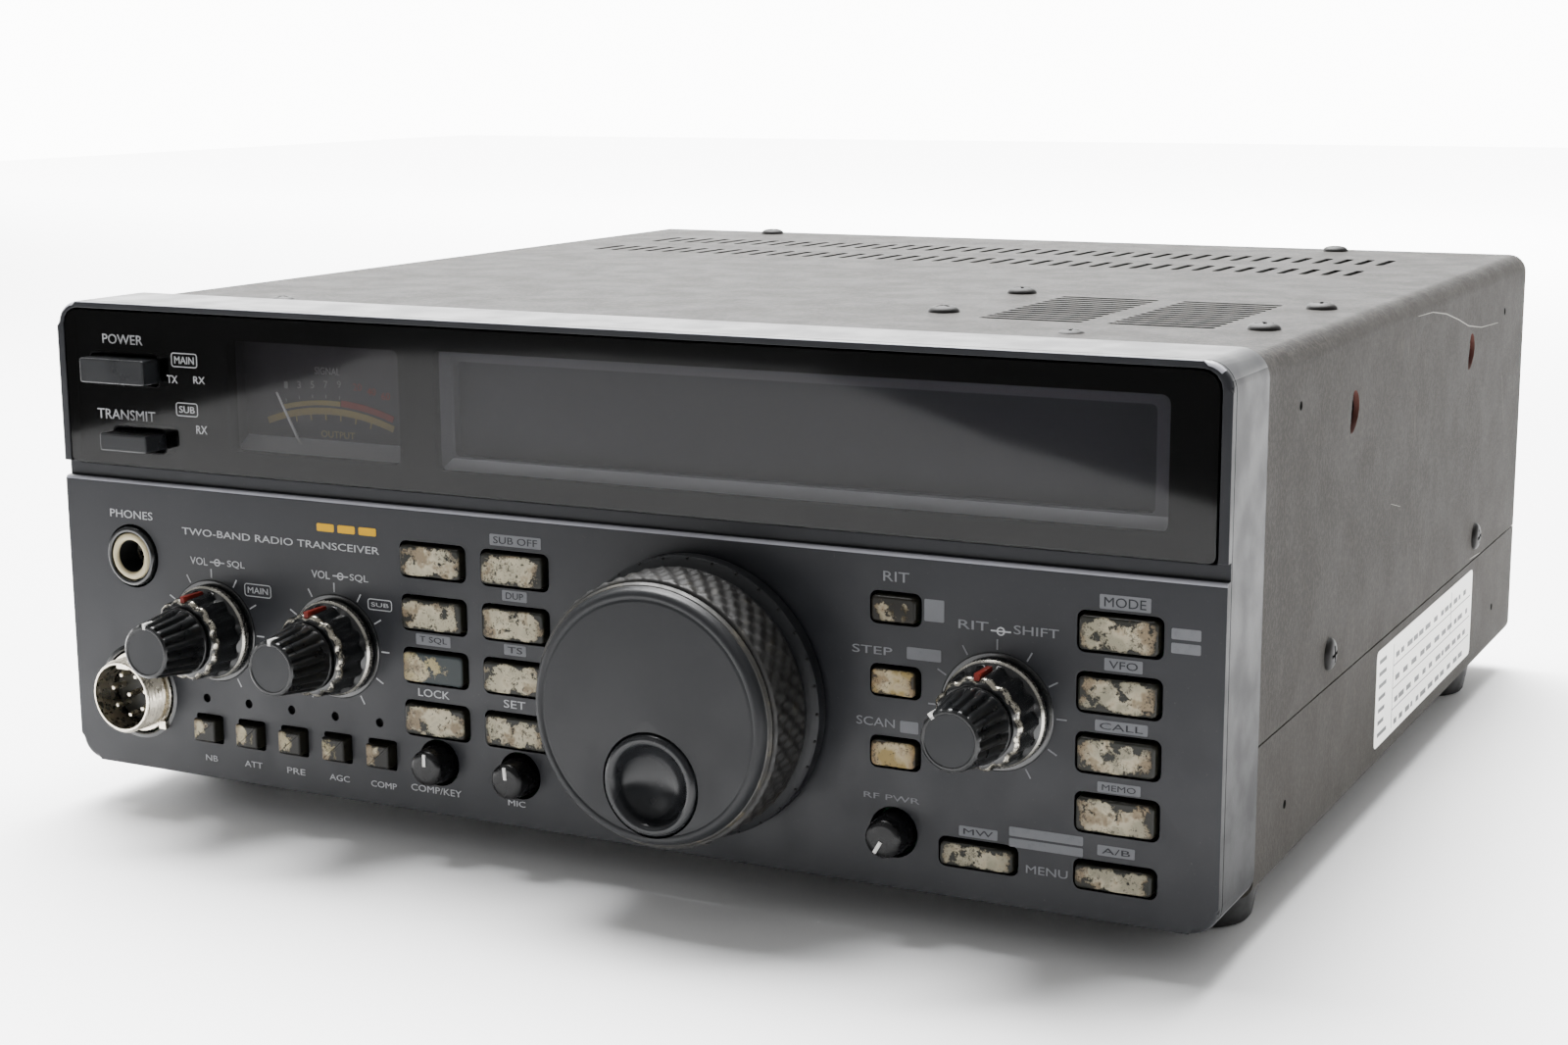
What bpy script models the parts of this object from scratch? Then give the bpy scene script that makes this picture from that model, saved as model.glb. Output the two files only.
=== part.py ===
"""Compact dual-band amateur radio base transceiver, as the pieces it comes apart into.

Frame: +Z up, the front panel faces -Y and +X is to the right of someone facing it. The origin is on
the table, under the middle of the set. Every size below is in millimetres, and MM turns it into metres.
A height called "proud" is measured outwards from the plane of the front panel.
"""
import math

import bmesh
import bpy
from mathutils import Matrix

MM = 0.001
MERGE = 0.00001

# ---------------------------------------------------------------- driving dimensions
WIDTH = 241.0
DEPTH = 239.0
HEIGHT = 94.0
FOOT_HEIGHT = 8.5
FRONT = -DEPTH / 2
REAR = DEPTH / 2
LOW = FOOT_HEIGHT
TOP = FOOT_HEIGHT + HEIGHT
GAP = 0.3

# front panel moulding and its smoked window
PANEL_DEPTH = 20.0
PANEL_WALL = 2.8
WINDOW_LOW = 70.0
WINDOW_TOP = 101.2
WINDOW_HALF = 118.7
WINDOW_DEPTH = 3.2
GROOVE_LOW = 67.4
GROOVE_DEPTH = 1.6
WINDOW_WALL_BACK = 5.5
SIDE_WALL = 2.5
EDGE_WALL = 2.3
CORNER = 5.0

# sheet metal covers
SHEET = 1.0
CASE_HALF = 120.2
CASE_TOP = 101.3
CASE_FRONT = FRONT + PANEL_DEPTH + GAP
SEAM = 35.3
BEND = 5.0
LOW_BEND = 3.0
BEND_STEPS = 4
SLOT_Y = (-45.4, 59.3)

# control positions on the front panel, as (x, z)
POWER_KEY = (-103.6, 89.5)
TRANSMIT_KEY = (-100.6, 75.7)
SMALL_KEYS = ("nb", "att", "preamp", "agc", "comp")
SMALL_KEY_X = -86.5
SMALL_KEY_STEP = 10.5
SMALL_KEY_Z = 18.6
KEY_ROWS = (57.4, 47.2, 37.0, 26.8)
LEFT_COLUMNS = (-31.5, -13.4)
RIGHT_COLUMN = 102.9
MIDDLE_COLUMN = 63.1
MIDDLE_ROWS = (57.8, 45.1, 32.5)
LOW_KEYS = ((102.8, 16.1), (78.5, 16.5))
VOLUME_KNOBS = {"main": (-84.3, 38.8), "sub": (-54.5, 38.8), "rit": (81.6, 42.0)}
SMALL_KNOBS = {"comp_knob": (-31.5, 18.6), "mic_gain_knob": (-13.4, 18.4), "rf_power_knob": (62.8, 18.4)}
DIAL = (25.0, 38.7)
FINGER_CUP = (25.8, 27.0)
PHONES = (-104.1, 52.1)
MIC = (-104.3, 24.3)
METER_OPENING = (-80.3, 74.4, -40.0, 96.1)
DISPLAY_OPENING = (-30.0, 74.0, 109.5, 96.4)
METER_PIVOT = (-60.5, 62.5)
METER_REST_ANGLE = -28.2
METER_FRONT = -113.6
METER_FLOOR = -109.6
METER_BACK = -101.5
METER_WALL = 1.2
METER_LEG_HALF = 9.5
PIN_RADIUS = 0.4
NEEDLE_LENGTH = 26.5
DISPLAY_FRAME = 2.0
DISPLAY_BACK = -104.0

# key caps as (width, height, proud, lip behind the panel)
KEY_CAP = (13.5, 5.8, 1.2)
MIDDLE_CAP = (8.3, 4.5, 1.2)
LOW_CAP = (13.3, 4.1, 1.2)
SMALL_CAP = (5.3, 4.6, 2.0)
POWER_CAP = (16.1, 4.9, 3.9)
TRANSMIT_CAP = (11.7, 3.4, 5.0)
KEY_CLEARANCE = 0.4
WINDOW_KEY_CLEARANCE = 0.9
KEY_LIP = 0.8
LIP_THICKNESS = 1.0

# boards and what they carry
BOARD_FRONT = -113.0
BOARD_THICKNESS = 1.6
POT_BACK = -103.0
SHAFT_CLEARANCE = 0.4

# rear of the set
REAR_PLATE = (115.5, 118.7)
SOCKET_LENGTH = 20.0
ANTENNA_SOCKETS = {"antenna_socket_a": (-92.0, 72.0), "antenna_socket_b": (-92.0, 36.0)}
DC_SOCKET = (92.0, 32.0)
FAN = (12.0, 56.0)
FAN_SIZE = 60.0
FAN_HOLE = 28.0
FAN_FRONT = 97.0
FAN_HUB = 12.0
FAN_PIN = 1.5
BLADES = 7
GRILLE_STEP = 5.6
GRILLE_SLOT = 3.2

# feet, as (x, y)
FOOT_X = 107.0
FOOT_Y = (-85.5, 88.5)

# chassis casting, with the heights of its shelf, and the speaker under the top cover, as (x, y)
CHASSIS_HALF = 116.0
CHASSIS_FRONT = -97.5
CHASSIS_BACK = 92.0
SHELF = (48.0, 50.0)
FINS = 15
FIN_STEP = 11.0
SPEAKER = (78.0, -43.5)
SPEAKER_TOP = 99.8

# concentric controls: a ring on a sleeve, round a knob on a shaft
RING_PROUD = 9.2
RING_RADIUS = 8.0
RING_FLANGE = 9.3
RING_BORE = 2.4
RING_SLEEVE = 3.4
KNOB_PROUD = 20.0
KNOB_RADIUS = 5.3
KNOB_SHAFT = 2.0
SLEEVE_END = -11.5
SHAFT_END = -14.5

# small level controls
LEVEL_PROUD = 5.0
LEVEL_RADIUS = 3.9
LEVEL_SHAFT = 1.6
LEVEL_SHAFT_END = -13.0

# tuning dial and the finger cup in its face
DIAL_PROUD = 19.2
DIAL_FACE = 22.6
DIAL_GRIP = 24.2
DIAL_FLANGE = 25.4
DIAL_SHAFT = 3.0
CUP_RADIUS = 9.1
CUP_POCKET = 6.0
CUP_SPINDLE = 1.5
CUP_SPINDLE_END = -10.0

# headphone socket for a 6.35 mm plug, and the microphone socket with its 15 mm screw thread
JACK_BORE = 3.25
JACK_RADIUS = 6.1
JACK_PROUD = 0.9
JACK_FLOOR = -17.3
MIC_PROUD = 5.6
MIC_BORE = 6.6
MIC_THREAD = 7.5
MIC_FLANGE = 8.3
MIC_BACK = -5.8

# coaxial antenna sockets, with a 5/8 inch barrel on a 1 inch flange
BARREL_RADIUS = 7.9
BARREL_BORE = 5.8
BARREL_FLOOR = 8.0
CONTACT_RADIUS = 2.2
FLANGE_HALF = 12.7
SPIGOT = 5.0

# power inlet, as half width and half height
SHROUD_HALF = (11.0, 9.0)
SHROUD_WALL = 2.0
SHROUD_BACK = 122.5


# ---------------------------------------------------------------- scene set-up
def clear_scene():
    for old in list(bpy.data.objects):
        bpy.data.objects.remove(old, do_unlink=True)


def new_collection(name):
    collection = bpy.data.collections.new(name)
    bpy.context.scene.collection.children.link(collection)
    return collection


clear_scene()
PARTS = new_collection("ham_transceiver")
TOOLS = new_collection("cutters_and_joined_shapes")


def material(name, colour, roughness, metallic=0.0):
    made = bpy.data.materials.new(name)
    made.use_nodes = True
    shader = made.node_tree.nodes["Principled BSDF"]
    shader.inputs["Base Color"].default_value = (*colour, 1.0)
    shader.inputs["Roughness"].default_value = roughness
    shader.inputs["Metallic"].default_value = metallic
    return made


PANEL = material("panel_plastic", (0.065, 0.067, 0.072), 0.45)
SMOKED = material("smoked_window", (0.01, 0.01, 0.011), 0.06)
CASE = material("case_paint", (0.12, 0.118, 0.112), 0.55)
KEYS = material("worn_key_paint", (0.55, 0.5, 0.38), 0.5)
BLACK = material("black_plastic", (0.02, 0.02, 0.022), 0.4)
DIAL_GREY = material("dial_plastic", (0.055, 0.056, 0.06), 0.45)
NICKEL = material("nickel_plate", (0.72, 0.69, 0.62), 0.25, 1.0)
CREAM = material("cream_bush", (0.62, 0.56, 0.42), 0.45)
RUBBER = material("foot_rubber", (0.02, 0.02, 0.02), 0.75)
ALUMINIUM = material("cast_aluminium", (0.55, 0.55, 0.56), 0.45, 1.0)
BOARD = material("circuit_board", (0.05, 0.2, 0.09), 0.5)
METER_FACE = material("meter_face", (0.03, 0.03, 0.035), 0.5)


# ---------------------------------------------------------------- modelling helpers
def finish(name, mesh, centre, paint, collection=PARTS):
    """Wrap a mesh as a named object whose origin is at centre, in millimetres."""
    piece = bpy.data.objects.new(name, mesh)
    collection.objects.link(piece)
    piece.location = [value * MM for value in centre]
    if collection is PARTS:
        mesh.materials.append(paint)
        piece.parent = ROOT
    else:
        piece.hide_render = True
        piece.display_type = "WIRE"
    return piece


def to_mesh(name, bm):
    for vert in bm.verts:
        vert.co *= MM
    mesh = bpy.data.meshes.new(name)
    bm.to_mesh(mesh)
    bm.free()
    return mesh


def add_box(bm, low, high):
    """Add a box between two corners, in millimetres, and return its vertices."""
    size = [b - a for a, b in zip(low, high)]
    middle = [(a + b) / 2 for a, b in zip(low, high)]
    place = Matrix.Translation(middle) @ Matrix.Diagonal((*size, 1.0))
    return bmesh.ops.create_cube(bm, size=1.0, matrix=place)["verts"]


def add_rod(bm, centre, radius, start, stop, sides=24, axis="Y"):
    """Add a closed cylinder along Y (centre is x, z) or along Z (centre is x, y)."""
    middle = (start + stop) / 2
    if axis == "Y":
        upright = Matrix.Rotation(math.pi / 2, 4, "X")
        place = Matrix.Translation((centre[0], middle, centre[1])) @ upright
    else:
        place = Matrix.Translation((centre[0], centre[1], middle))
    bmesh.ops.create_cone(bm, cap_ends=True, segments=sides, radius1=radius, radius2=radius,
                          depth=abs(stop - start), matrix=place)


def block(name, low, high, paint):
    """A plain box between two corners of the set's own frame."""
    centre = [(a + b) / 2 for a, b in zip(low, high)]
    bm = bmesh.new()
    add_box(bm, [a - c for a, c in zip(low, centre)], [b - c for b, c in zip(high, centre)])
    return finish(name, to_mesh(name, bm), centre, paint)


def rounded_plate(name, low, high, radius, paint):
    """A block whose four edges along Y are rounded."""
    plate = block(name, low, high, paint)
    bm = bmesh.new()
    bm.from_mesh(plate.data)
    across = [edge for edge in bm.edges if abs(edge.verts[0].co.y - edge.verts[1].co.y) > MM]
    bmesh.ops.bevel(bm, geom=across, offset=radius * MM, segments=4, affect="EDGES", profile=0.5)
    bm.to_mesh(plate.data)
    bm.free()
    return plate


def tool(name, boxes=(), rods=()):
    """A hidden object made of separate boxes and rods, for cutting or joining."""
    bm = bmesh.new()
    for low, high in boxes:
        add_box(bm, low, high)
    for rod in rods:
        add_rod(bm, *rod)
    return finish(name, to_mesh(name, bm), (0, 0, 0), None, TOOLS)


def combine(target, operation, other):
    step = target.modifiers.new(other.name, "BOOLEAN")
    step.operation = operation
    step.solver = "EXACT"
    step.object = other


def turned(name, profile, centre, paint, facing="front", steps=24, closed=False, collection=PARTS):
    """Turn a profile of (along, radius) points, from its outer end down its outer side.

    along runs towards -Y for a piece on the front, +Y for one on the rear and +Z for one facing up.
    """
    bm = bmesh.new()
    verts = [bm.verts.new((radius, 0, along)) for along, radius in profile]
    for first, second in zip(verts, verts[1:]):
        bm.edges.new((first, second))
    if closed:
        bm.edges.new((verts[-1], verts[0]))
    piece = finish(name, to_mesh(name, bm), centre, paint, collection)
    piece.rotation_euler.x = {"front": math.pi / 2, "rear": -math.pi / 2, "up": 0.0}[facing]
    screw = piece.modifiers.new("turn", "SCREW")
    screw.axis = "Z"
    screw.steps = steps
    screw.render_steps = steps
    screw.use_merge_vertices = True
    screw.merge_threshold = MERGE
    screw.use_smooth_shade = False
    return piece


def opening(centre, cap, clearance, back, front=FRONT - 5):
    """The box that lets a key cap through a wall."""
    half_wide = cap[0] / 2 + clearance
    half_high = cap[1] / 2 + clearance
    low = (centre[0] - half_wide, front, centre[1] - half_high)
    high = (centre[0] + half_wide, back, centre[1] + half_high)
    return low, high


ROOT = bpy.data.objects.new("transceiver", None)
PARTS.objects.link(ROOT)


# ---------------------------------------------------------------- keys and knobs
def key(name, centre, cap, lip_front, paint=KEYS):
    """A key cap with a lip behind the panel that keeps it in, with its origin on its line of travel."""
    wide, high, proud = cap
    half_wide = wide / 2 + KEY_LIP
    half_high = high / 2 + KEY_LIP
    front = FRONT - proud
    bm = bmesh.new()
    add_box(bm, (-half_wide, lip_front - front, -half_high),
            (half_wide, lip_front - front + LIP_THICKNESS, half_high))
    bm.faces.ensure_lookup_table()
    facing = min(bm.faces, key=lambda face: face.calc_center_median().y)
    bmesh.ops.inset_region(bm, faces=[facing], thickness=KEY_LIP, use_even_offset=True)
    grown = bmesh.ops.extrude_face_region(bm, geom=[facing])["geom"]
    bmesh.ops.delete(bm, geom=[facing], context="FACES")
    cap_verts = [item for item in grown if isinstance(item, bmesh.types.BMVert)]
    for vert in cap_verts:
        vert.co.y = 0.0
    rim = [edge for edge in bm.edges if all(abs(vert.co.y) < 1e-6 for vert in edge.verts)]
    bmesh.ops.bevel(bm, geom=rim, offset=0.5, segments=2, affect="EDGES", profile=0.5)
    bmesh.ops.recalc_face_normals(bm, faces=bm.faces)
    return finish(name, to_mesh(name, bm), (centre[0], front, centre[1]), paint)


def keys():
    lip = FRONT + PANEL_WALL + 0.8
    small_lip = FRONT + PANEL_WALL + 0.5
    window_lip = FRONT + WINDOW_WALL_BACK + GAP
    key("power_button", POWER_KEY, POWER_CAP, window_lip, BLACK)
    key("transmit_button", TRANSMIT_KEY, TRANSMIT_CAP, window_lip, BLACK)
    for index, label in enumerate(SMALL_KEYS):
        place = (SMALL_KEY_X + index * SMALL_KEY_STEP, SMALL_KEY_Z)
        key(label + "_button", place, SMALL_CAP, small_lip)
    for row, height in enumerate(KEY_ROWS, 1):
        for column, across in zip("ab", LEFT_COLUMNS):
            key(f"left_key_{column}{row}", (across, height), KEY_CAP, lip)
        key(f"right_key_{row}", (RIGHT_COLUMN, height), KEY_CAP, lip)
    for label, height in zip(("rit", "step", "scan"), MIDDLE_ROWS):
        key(label + "_key", (MIDDLE_COLUMN, height), MIDDLE_CAP, lip)
    key("right_key_5", LOW_KEYS[0], LOW_CAP, lip)
    key("memory_key", LOW_KEYS[1], LOW_CAP, lip)


def concentric_knobs(label, centre):
    """A ring on a sleeve, and a taller knob whose shaft runs through the ring's bore."""
    ring = [(RING_PROUD, RING_BORE), (RING_PROUD, RING_RADIUS - 0.5), (RING_PROUD - 0.6, RING_RADIUS),
            (2.3, RING_RADIUS + 0.5), (2.1, RING_FLANGE), (0.6, RING_FLANGE), (0.6, RING_SLEEVE),
            (SLEEVE_END, RING_SLEEVE), (SLEEVE_END, RING_BORE)]
    base = RING_PROUD + 0.4
    knob = [(KNOB_PROUD, 0.0), (KNOB_PROUD, KNOB_RADIUS - 0.6), (KNOB_PROUD - 0.6, KNOB_RADIUS),
            (base + 0.2, KNOB_RADIUS + 1.3), (base, KNOB_RADIUS + 1.1), (base, KNOB_SHAFT),
            (SHAFT_END, KNOB_SHAFT), (SHAFT_END, 0.0)]
    place = (centre[0], FRONT, centre[1])
    outer_name = {"main": "main_squelch_ring", "sub": "sub_squelch_ring", "rit": "shift_ring"}[label]
    inner_name = {"main": "main_volume_knob", "sub": "sub_volume_knob", "rit": "rit_knob"}[label]
    turned(outer_name, ring, place, BLACK, closed=True)
    turned(inner_name, knob, place, BLACK)


def small_knob(name, centre):
    """Level control: a short tapered knob that goes back through the panel to its shaft."""
    profile = [(LEVEL_PROUD, 0.0), (LEVEL_PROUD, LEVEL_RADIUS - 1.3),
               (LEVEL_PROUD - 0.4, LEVEL_RADIUS - 0.9), (0.2, LEVEL_RADIUS), (-2.0, LEVEL_RADIUS), (-2.0, LEVEL_SHAFT),
               (LEVEL_SHAFT_END, LEVEL_SHAFT), (LEVEL_SHAFT_END, 0.0)]
    turned(name, profile, (centre[0], FRONT, centre[1]), BLACK, steps=16)


def main_dial():
    """Tuning dial: flat face, grip band, flange and the shaft that turns the encoder."""
    groove = DIAL_GRIP - 0.8
    profile = [(DIAL_PROUD, 0.0), (DIAL_PROUD, DIAL_FACE - 1.2), (DIAL_PROUD - 0.7, DIAL_FACE),
               (16.6, DIAL_FACE + 0.4), (16.0, DIAL_GRIP - 0.2), (5.4, DIAL_GRIP), (5.0, groove),
               (4.0, groove), (3.7, DIAL_FLANGE), (0.8, DIAL_FLANGE), (0.8, DIAL_SHAFT),
               (-17.0, DIAL_SHAFT), (-17.0, 0.0)]
    dial = turned("main_dial", profile, (DIAL[0], FRONT, DIAL[1]), DIAL_GREY, steps=40)
    face = FRONT - DIAL_PROUD
    pocket = tool("cup_pocket", rods=[(FINGER_CUP, CUP_RADIUS + GAP, face - 3, face + CUP_POCKET)])
    bore = CUP_SPINDLE + SHAFT_CLEARANCE
    spindle = tool("cup_spindle_bore", rods=[(FINGER_CUP, bore, face + 5, face + 10.5, 12)])
    combine(dial, "DIFFERENCE", pocket)
    combine(dial, "DIFFERENCE", spindle)


def finger_cup():
    """Free-turning finger dish set in the dial, on its own spindle."""
    profile = [(-4.4, 0.0), (-4.4, 4.8), (-3.4, 6.6), (0.1, CUP_RADIUS - 1.2), (0.6, CUP_RADIUS - 0.6),
               (0.1, CUP_RADIUS), (-5.6, CUP_RADIUS), (-5.6, CUP_SPINDLE),
               (CUP_SPINDLE_END, CUP_SPINDLE), (CUP_SPINDLE_END, 0.0)]
    turned("finger_cup", profile, (FINGER_CUP[0], FRONT - DIAL_PROUD, FINGER_CUP[1]), BLACK, steps=28)


# ---------------------------------------------------------------- front panel and what is behind it
def front_panel():
    """Moulded front: open at the rear, with a step for the window and an opening for each control."""
    half = WIDTH / 2
    back = FRONT + PANEL_DEPTH
    panel = rounded_plate("front_panel", (-half, FRONT, LOW), (half, back, TOP), CORNER, PANEL)
    inside = half - SIDE_WALL
    floor = LOW + EDGE_WALL
    hollow = tool("panel_hollow", boxes=[
        ((-inside, FRONT + WINDOW_WALL_BACK, floor), (inside, back + 5, TOP - EDGE_WALL))])
    lower = tool("panel_lower_hollow", boxes=[
        ((-inside, FRONT + PANEL_WALL, floor), (inside, FRONT + WINDOW_WALL_BACK + 1, GROOVE_LOW - 1.4))])
    step = tool("window_step", boxes=[
        ((-WINDOW_HALF, FRONT - 5, WINDOW_LOW), (WINDOW_HALF, FRONT + WINDOW_DEPTH, WINDOW_TOP))])
    groove = tool("panel_groove", boxes=[
        ((-half - 5, FRONT - 5, GROOVE_LOW), (half + 5, FRONT + GROOVE_DEPTH, WINDOW_LOW + 0.5))])
    for cutter in (hollow, lower, step, groove):
        combine(panel, "DIFFERENCE", cutter)
    combine(panel, "DIFFERENCE", panel_openings())


def panel_openings():
    """One hidden object with every opening that controls, sockets and the two displays need."""
    wall = FRONT + PANEL_WALL + 1.0
    window_wall = FRONT + WINDOW_WALL_BACK + 1.0
    boxes = [opening(POWER_KEY, POWER_CAP, WINDOW_KEY_CLEARANCE, window_wall),
             opening(TRANSMIT_KEY, TRANSMIT_CAP, WINDOW_KEY_CLEARANCE, window_wall)]
    for index in range(len(SMALL_KEYS)):
        place = (SMALL_KEY_X + index * SMALL_KEY_STEP, SMALL_KEY_Z)
        boxes.append(opening(place, SMALL_CAP, KEY_CLEARANCE, wall))
    for height in KEY_ROWS:
        for across in (*LEFT_COLUMNS, RIGHT_COLUMN):
            boxes.append(opening((across, height), KEY_CAP, KEY_CLEARANCE, wall))
    for height in MIDDLE_ROWS:
        boxes.append(opening((MIDDLE_COLUMN, height), MIDDLE_CAP, KEY_CLEARANCE, wall))
    for place in LOW_KEYS:
        boxes.append(opening(place, LOW_CAP, KEY_CLEARANCE, wall))
    for x0, z0, x1, z1 in (METER_OPENING, DISPLAY_OPENING):
        boxes.append(((x0, FRONT - 5, z0), (x1, window_wall, z1)))
    rods = [(PHONES, JACK_RADIUS + GAP, FRONT - 5, wall), (MIC, MIC_FLANGE + 0.5, FRONT - 5, wall),
            (DIAL, DIAL_SHAFT + 1.0, FRONT - 5, wall)]
    for place in VOLUME_KNOBS.values():
        rods.append((place, RING_SLEEVE + SHAFT_CLEARANCE, FRONT - 5, wall, 16))
    for place in SMALL_KNOBS.values():
        rods.append((place, LEVEL_RADIUS + SHAFT_CLEARANCE, FRONT - 5, wall, 16))
    return tool("panel_openings", boxes, rods)


def display_window():
    """Smoked acrylic window across the whole top of the front, with two slots for the keys."""
    low = (-WINDOW_HALF + GAP, FRONT, WINDOW_LOW + GAP)
    high = (WINDOW_HALF - GAP, FRONT + WINDOW_DEPTH - GAP, WINDOW_TOP - GAP)
    window = block("display_window", low, high, SMOKED)
    slots = tool("window_slots", boxes=[
        opening(POWER_KEY, POWER_CAP, WINDOW_KEY_CLEARANCE, FRONT + 5),
        opening(TRANSMIT_KEY, TRANSMIT_CAP, WINDOW_KEY_CLEARANCE, FRONT + 5)])
    combine(window, "DIFFERENCE", slots)


def meter_box(low, high, front, back, wall=0.0):
    """A box of the meter housing, shrunk by a wall in X and Z."""
    return [((low[0] + wall, front, low[1] + wall), (high[0] - wall, back, high[1] - wall))]


def meter():
    """Meter housing: a tray with a leg below it for the movement, and its pointer on a pin."""
    x, z = METER_PIVOT
    tray = ((-83.0, 72.8), (-37.6, 98.0))
    leg = ((x - METER_LEG_HALF, 58.0), (x + METER_LEG_HALF, 76.2))
    housing = block("meter_housing", *meter_box(*tray, METER_FRONT, METER_BACK)[0], METER_FACE)
    combine(housing, "UNION", tool("meter_leg", meter_box(*leg, METER_FRONT, METER_BACK)))
    for label, outline in (("meter_tray", tray), ("meter_well", leg)):
        hollow = meter_box(*outline, METER_FRONT - 3, METER_FLOOR, METER_WALL)
        combine(housing, "DIFFERENCE", tool(label, hollow))
    pin = tool("meter_pin", rods=[(METER_PIVOT, PIN_RADIUS, METER_FLOOR - 2.6, METER_FLOOR + 1, 8)])
    combine(housing, "UNION", pin)

    bore = PIN_RADIUS + 0.35
    hub = [(0.8, bore), (0.8, 1.9), (-0.8, 1.9), (-0.8, bore)]
    pointer = turned("meter_needle", hub, (x, METER_FLOOR - 1.5, z), METER_FACE, steps=12, closed=True)
    blade = tool("needle_blade", boxes=[((-0.3, -0.25, 1.2), (0.3, 0.25, NEEDLE_LENGTH))])
    blade.location = pointer.location
    blade.rotation_euler.y = math.radians(METER_REST_ANGLE)
    combine(pointer, "UNION", blade)


def display_module():
    """Liquid crystal display in its frame, close behind the window wall."""
    x0, z0, x1, z1 = DISPLAY_OPENING
    module = block("display_module", (x0 - 1.2, METER_FRONT, z0 - 1.2), (x1 + 1.2, DISPLAY_BACK, z1 + 1.2),
                   METER_FACE)
    low = (x0 + DISPLAY_FRAME, METER_FRONT - 3, z0 + DISPLAY_FRAME)
    high = (x1 - DISPLAY_FRAME, METER_FRONT + 1, z1 - DISPLAY_FRAME)
    combine(module, "DIFFERENCE", tool("display_recess", boxes=[(low, high)]))


def front_board():
    """Control board with its potentiometer cans behind it, bored for the knob shafts."""
    front = BOARD_FRONT
    back = front + BOARD_THICKNESS
    board = block("front_board", (-112.5, front, 12.5), (113.0, back, 66.0), BOARD)
    cans = [(place, 8.0, back - 0.3, POT_BACK, 16) for place in VOLUME_KNOBS.values()]
    cans += [(place, 5.0, back - 0.3, POT_BACK - 1.5, 12) for place in SMALL_KNOBS.values()]
    combine(board, "UNION", tool("pot_cans", rods=cans))

    bores = [(DIAL, DIAL_SHAFT + 1.0, front - 1, back + 1, 16),
             (PHONES, JACK_RADIUS + 0.5, front - 1, back + 1)]
    for place in VOLUME_KNOBS.values():
        bores.append((place, RING_SLEEVE + SHAFT_CLEARANCE, front - 1, FRONT - SLEEVE_END + 0.5, 16))
    for place in SMALL_KNOBS.values():
        bores.append((place, LEVEL_SHAFT + GAP, front - 1, FRONT - LEVEL_SHAFT_END + 0.5, 12))
    half = METER_LEG_HALF + 0.7
    notch = ((METER_PIVOT[0] - half, front - 1, 57.2), (METER_PIVOT[0] + half, back + 1, 70.0))
    combine(board, "DIFFERENCE", tool("board_bores", [notch], bores))
    inner = [(place, KNOB_SHAFT + SHAFT_CLEARANCE, front - 2, FRONT - SHAFT_END + 0.5, 12)
             for place in VOLUME_KNOBS.values()]
    combine(board, "DIFFERENCE", tool("board_inner_bores", rods=inner))


def dial_encoder():
    """Encoder behind the board, with a blind bore for the tuning dial's shaft."""
    bore = DIAL_SHAFT + SHAFT_CLEARANCE
    profile = [(-9.8, 0.0), (-9.8, bore), (0.0, bore), (0.0, 14.0), (-11.4, 14.0), (-11.4, 0.0)]
    turned("dial_encoder", profile, (DIAL[0], BOARD_FRONT + BOARD_THICKNESS + GAP, DIAL[1]), BLACK)


# ---------------------------------------------------------------- sockets on the front
def phones_jack():
    """Bushing and barrel for a 6.35 mm headphone plug, closed at its rear end."""
    back = JACK_FLOOR - 1.2
    profile = [(JACK_FLOOR, 0.0), (JACK_FLOOR, JACK_BORE), (JACK_PROUD, JACK_BORE),
               (JACK_PROUD, JACK_RADIUS - 0.5), (JACK_PROUD - 0.4, JACK_RADIUS), (back, JACK_RADIUS),
               (back, 0.0)]
    turned("phones_jack", profile, (PHONES[0], FRONT, PHONES[1]), CREAM)


def mic_connector():
    """Threaded shell of the round microphone socket, with the contact insert deep inside it."""
    shell = [(MIC_PROUD, MIC_BORE), (MIC_PROUD, MIC_THREAD - 0.3), (MIC_PROUD - 0.4, MIC_THREAD),
             (0.2, MIC_THREAD), (0.2, MIC_FLANGE), (-1.6, MIC_FLANGE), (-1.6, MIC_THREAD),
             (MIC_BACK, MIC_THREAD), (MIC_BACK, MIC_BORE)]
    place = (MIC[0], FRONT, MIC[1])
    turned("mic_connector", shell, place, NICKEL, closed=True)
    width = MIC_BORE - GAP
    insert = [(-0.4, 0.0), (-0.4, width), (MIC_BACK + 0.2, width), (MIC_BACK + 0.2, 0.0)]
    turned("mic_insert", insert, place, BLACK)


# ---------------------------------------------------------------- covers, chassis and feet
def channel(name, high, low, bend, turn, paint):
    """A sheet bent into a channel along Y: legs down from its flat at high if turn is 1, up if -1."""
    flat, end = (high, low) if turn == 1 else (low, high)
    outline = [(CASE_HALF, end)]
    for index in range(BEND_STEPS + 1):
        angle = math.pi / 2 * index / BEND_STEPS
        across = CASE_HALF - bend + bend * math.cos(angle)
        outline.append((across, flat - turn * (bend - bend * math.sin(angle))))
    outline += [(-x, z) for x, z in reversed(outline)]
    if turn == -1:
        outline.reverse()
    bm = bmesh.new()
    verts = [bm.verts.new((x, CASE_FRONT, z)) for x, z in outline]
    edges = [bm.edges.new(pair) for pair in zip(verts, verts[1:])]
    grown = bmesh.ops.extrude_edge_only(bm, edges=edges)["geom"]
    for item in grown:
        if isinstance(item, bmesh.types.BMVert):
            item.co.y = REAR
    bm.normal_update()
    if bm.faces[:][len(edges) // 2].normal.z * turn < 0:
        bmesh.ops.reverse_faces(bm, faces=bm.faces)
    piece = finish(name, to_mesh(name, bm), (0, 0, 0), paint)
    wall = piece.modifiers.new("sheet", "SOLIDIFY")
    wall.thickness = SHEET * MM
    wall.offset = -1.0
    return piece


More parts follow.
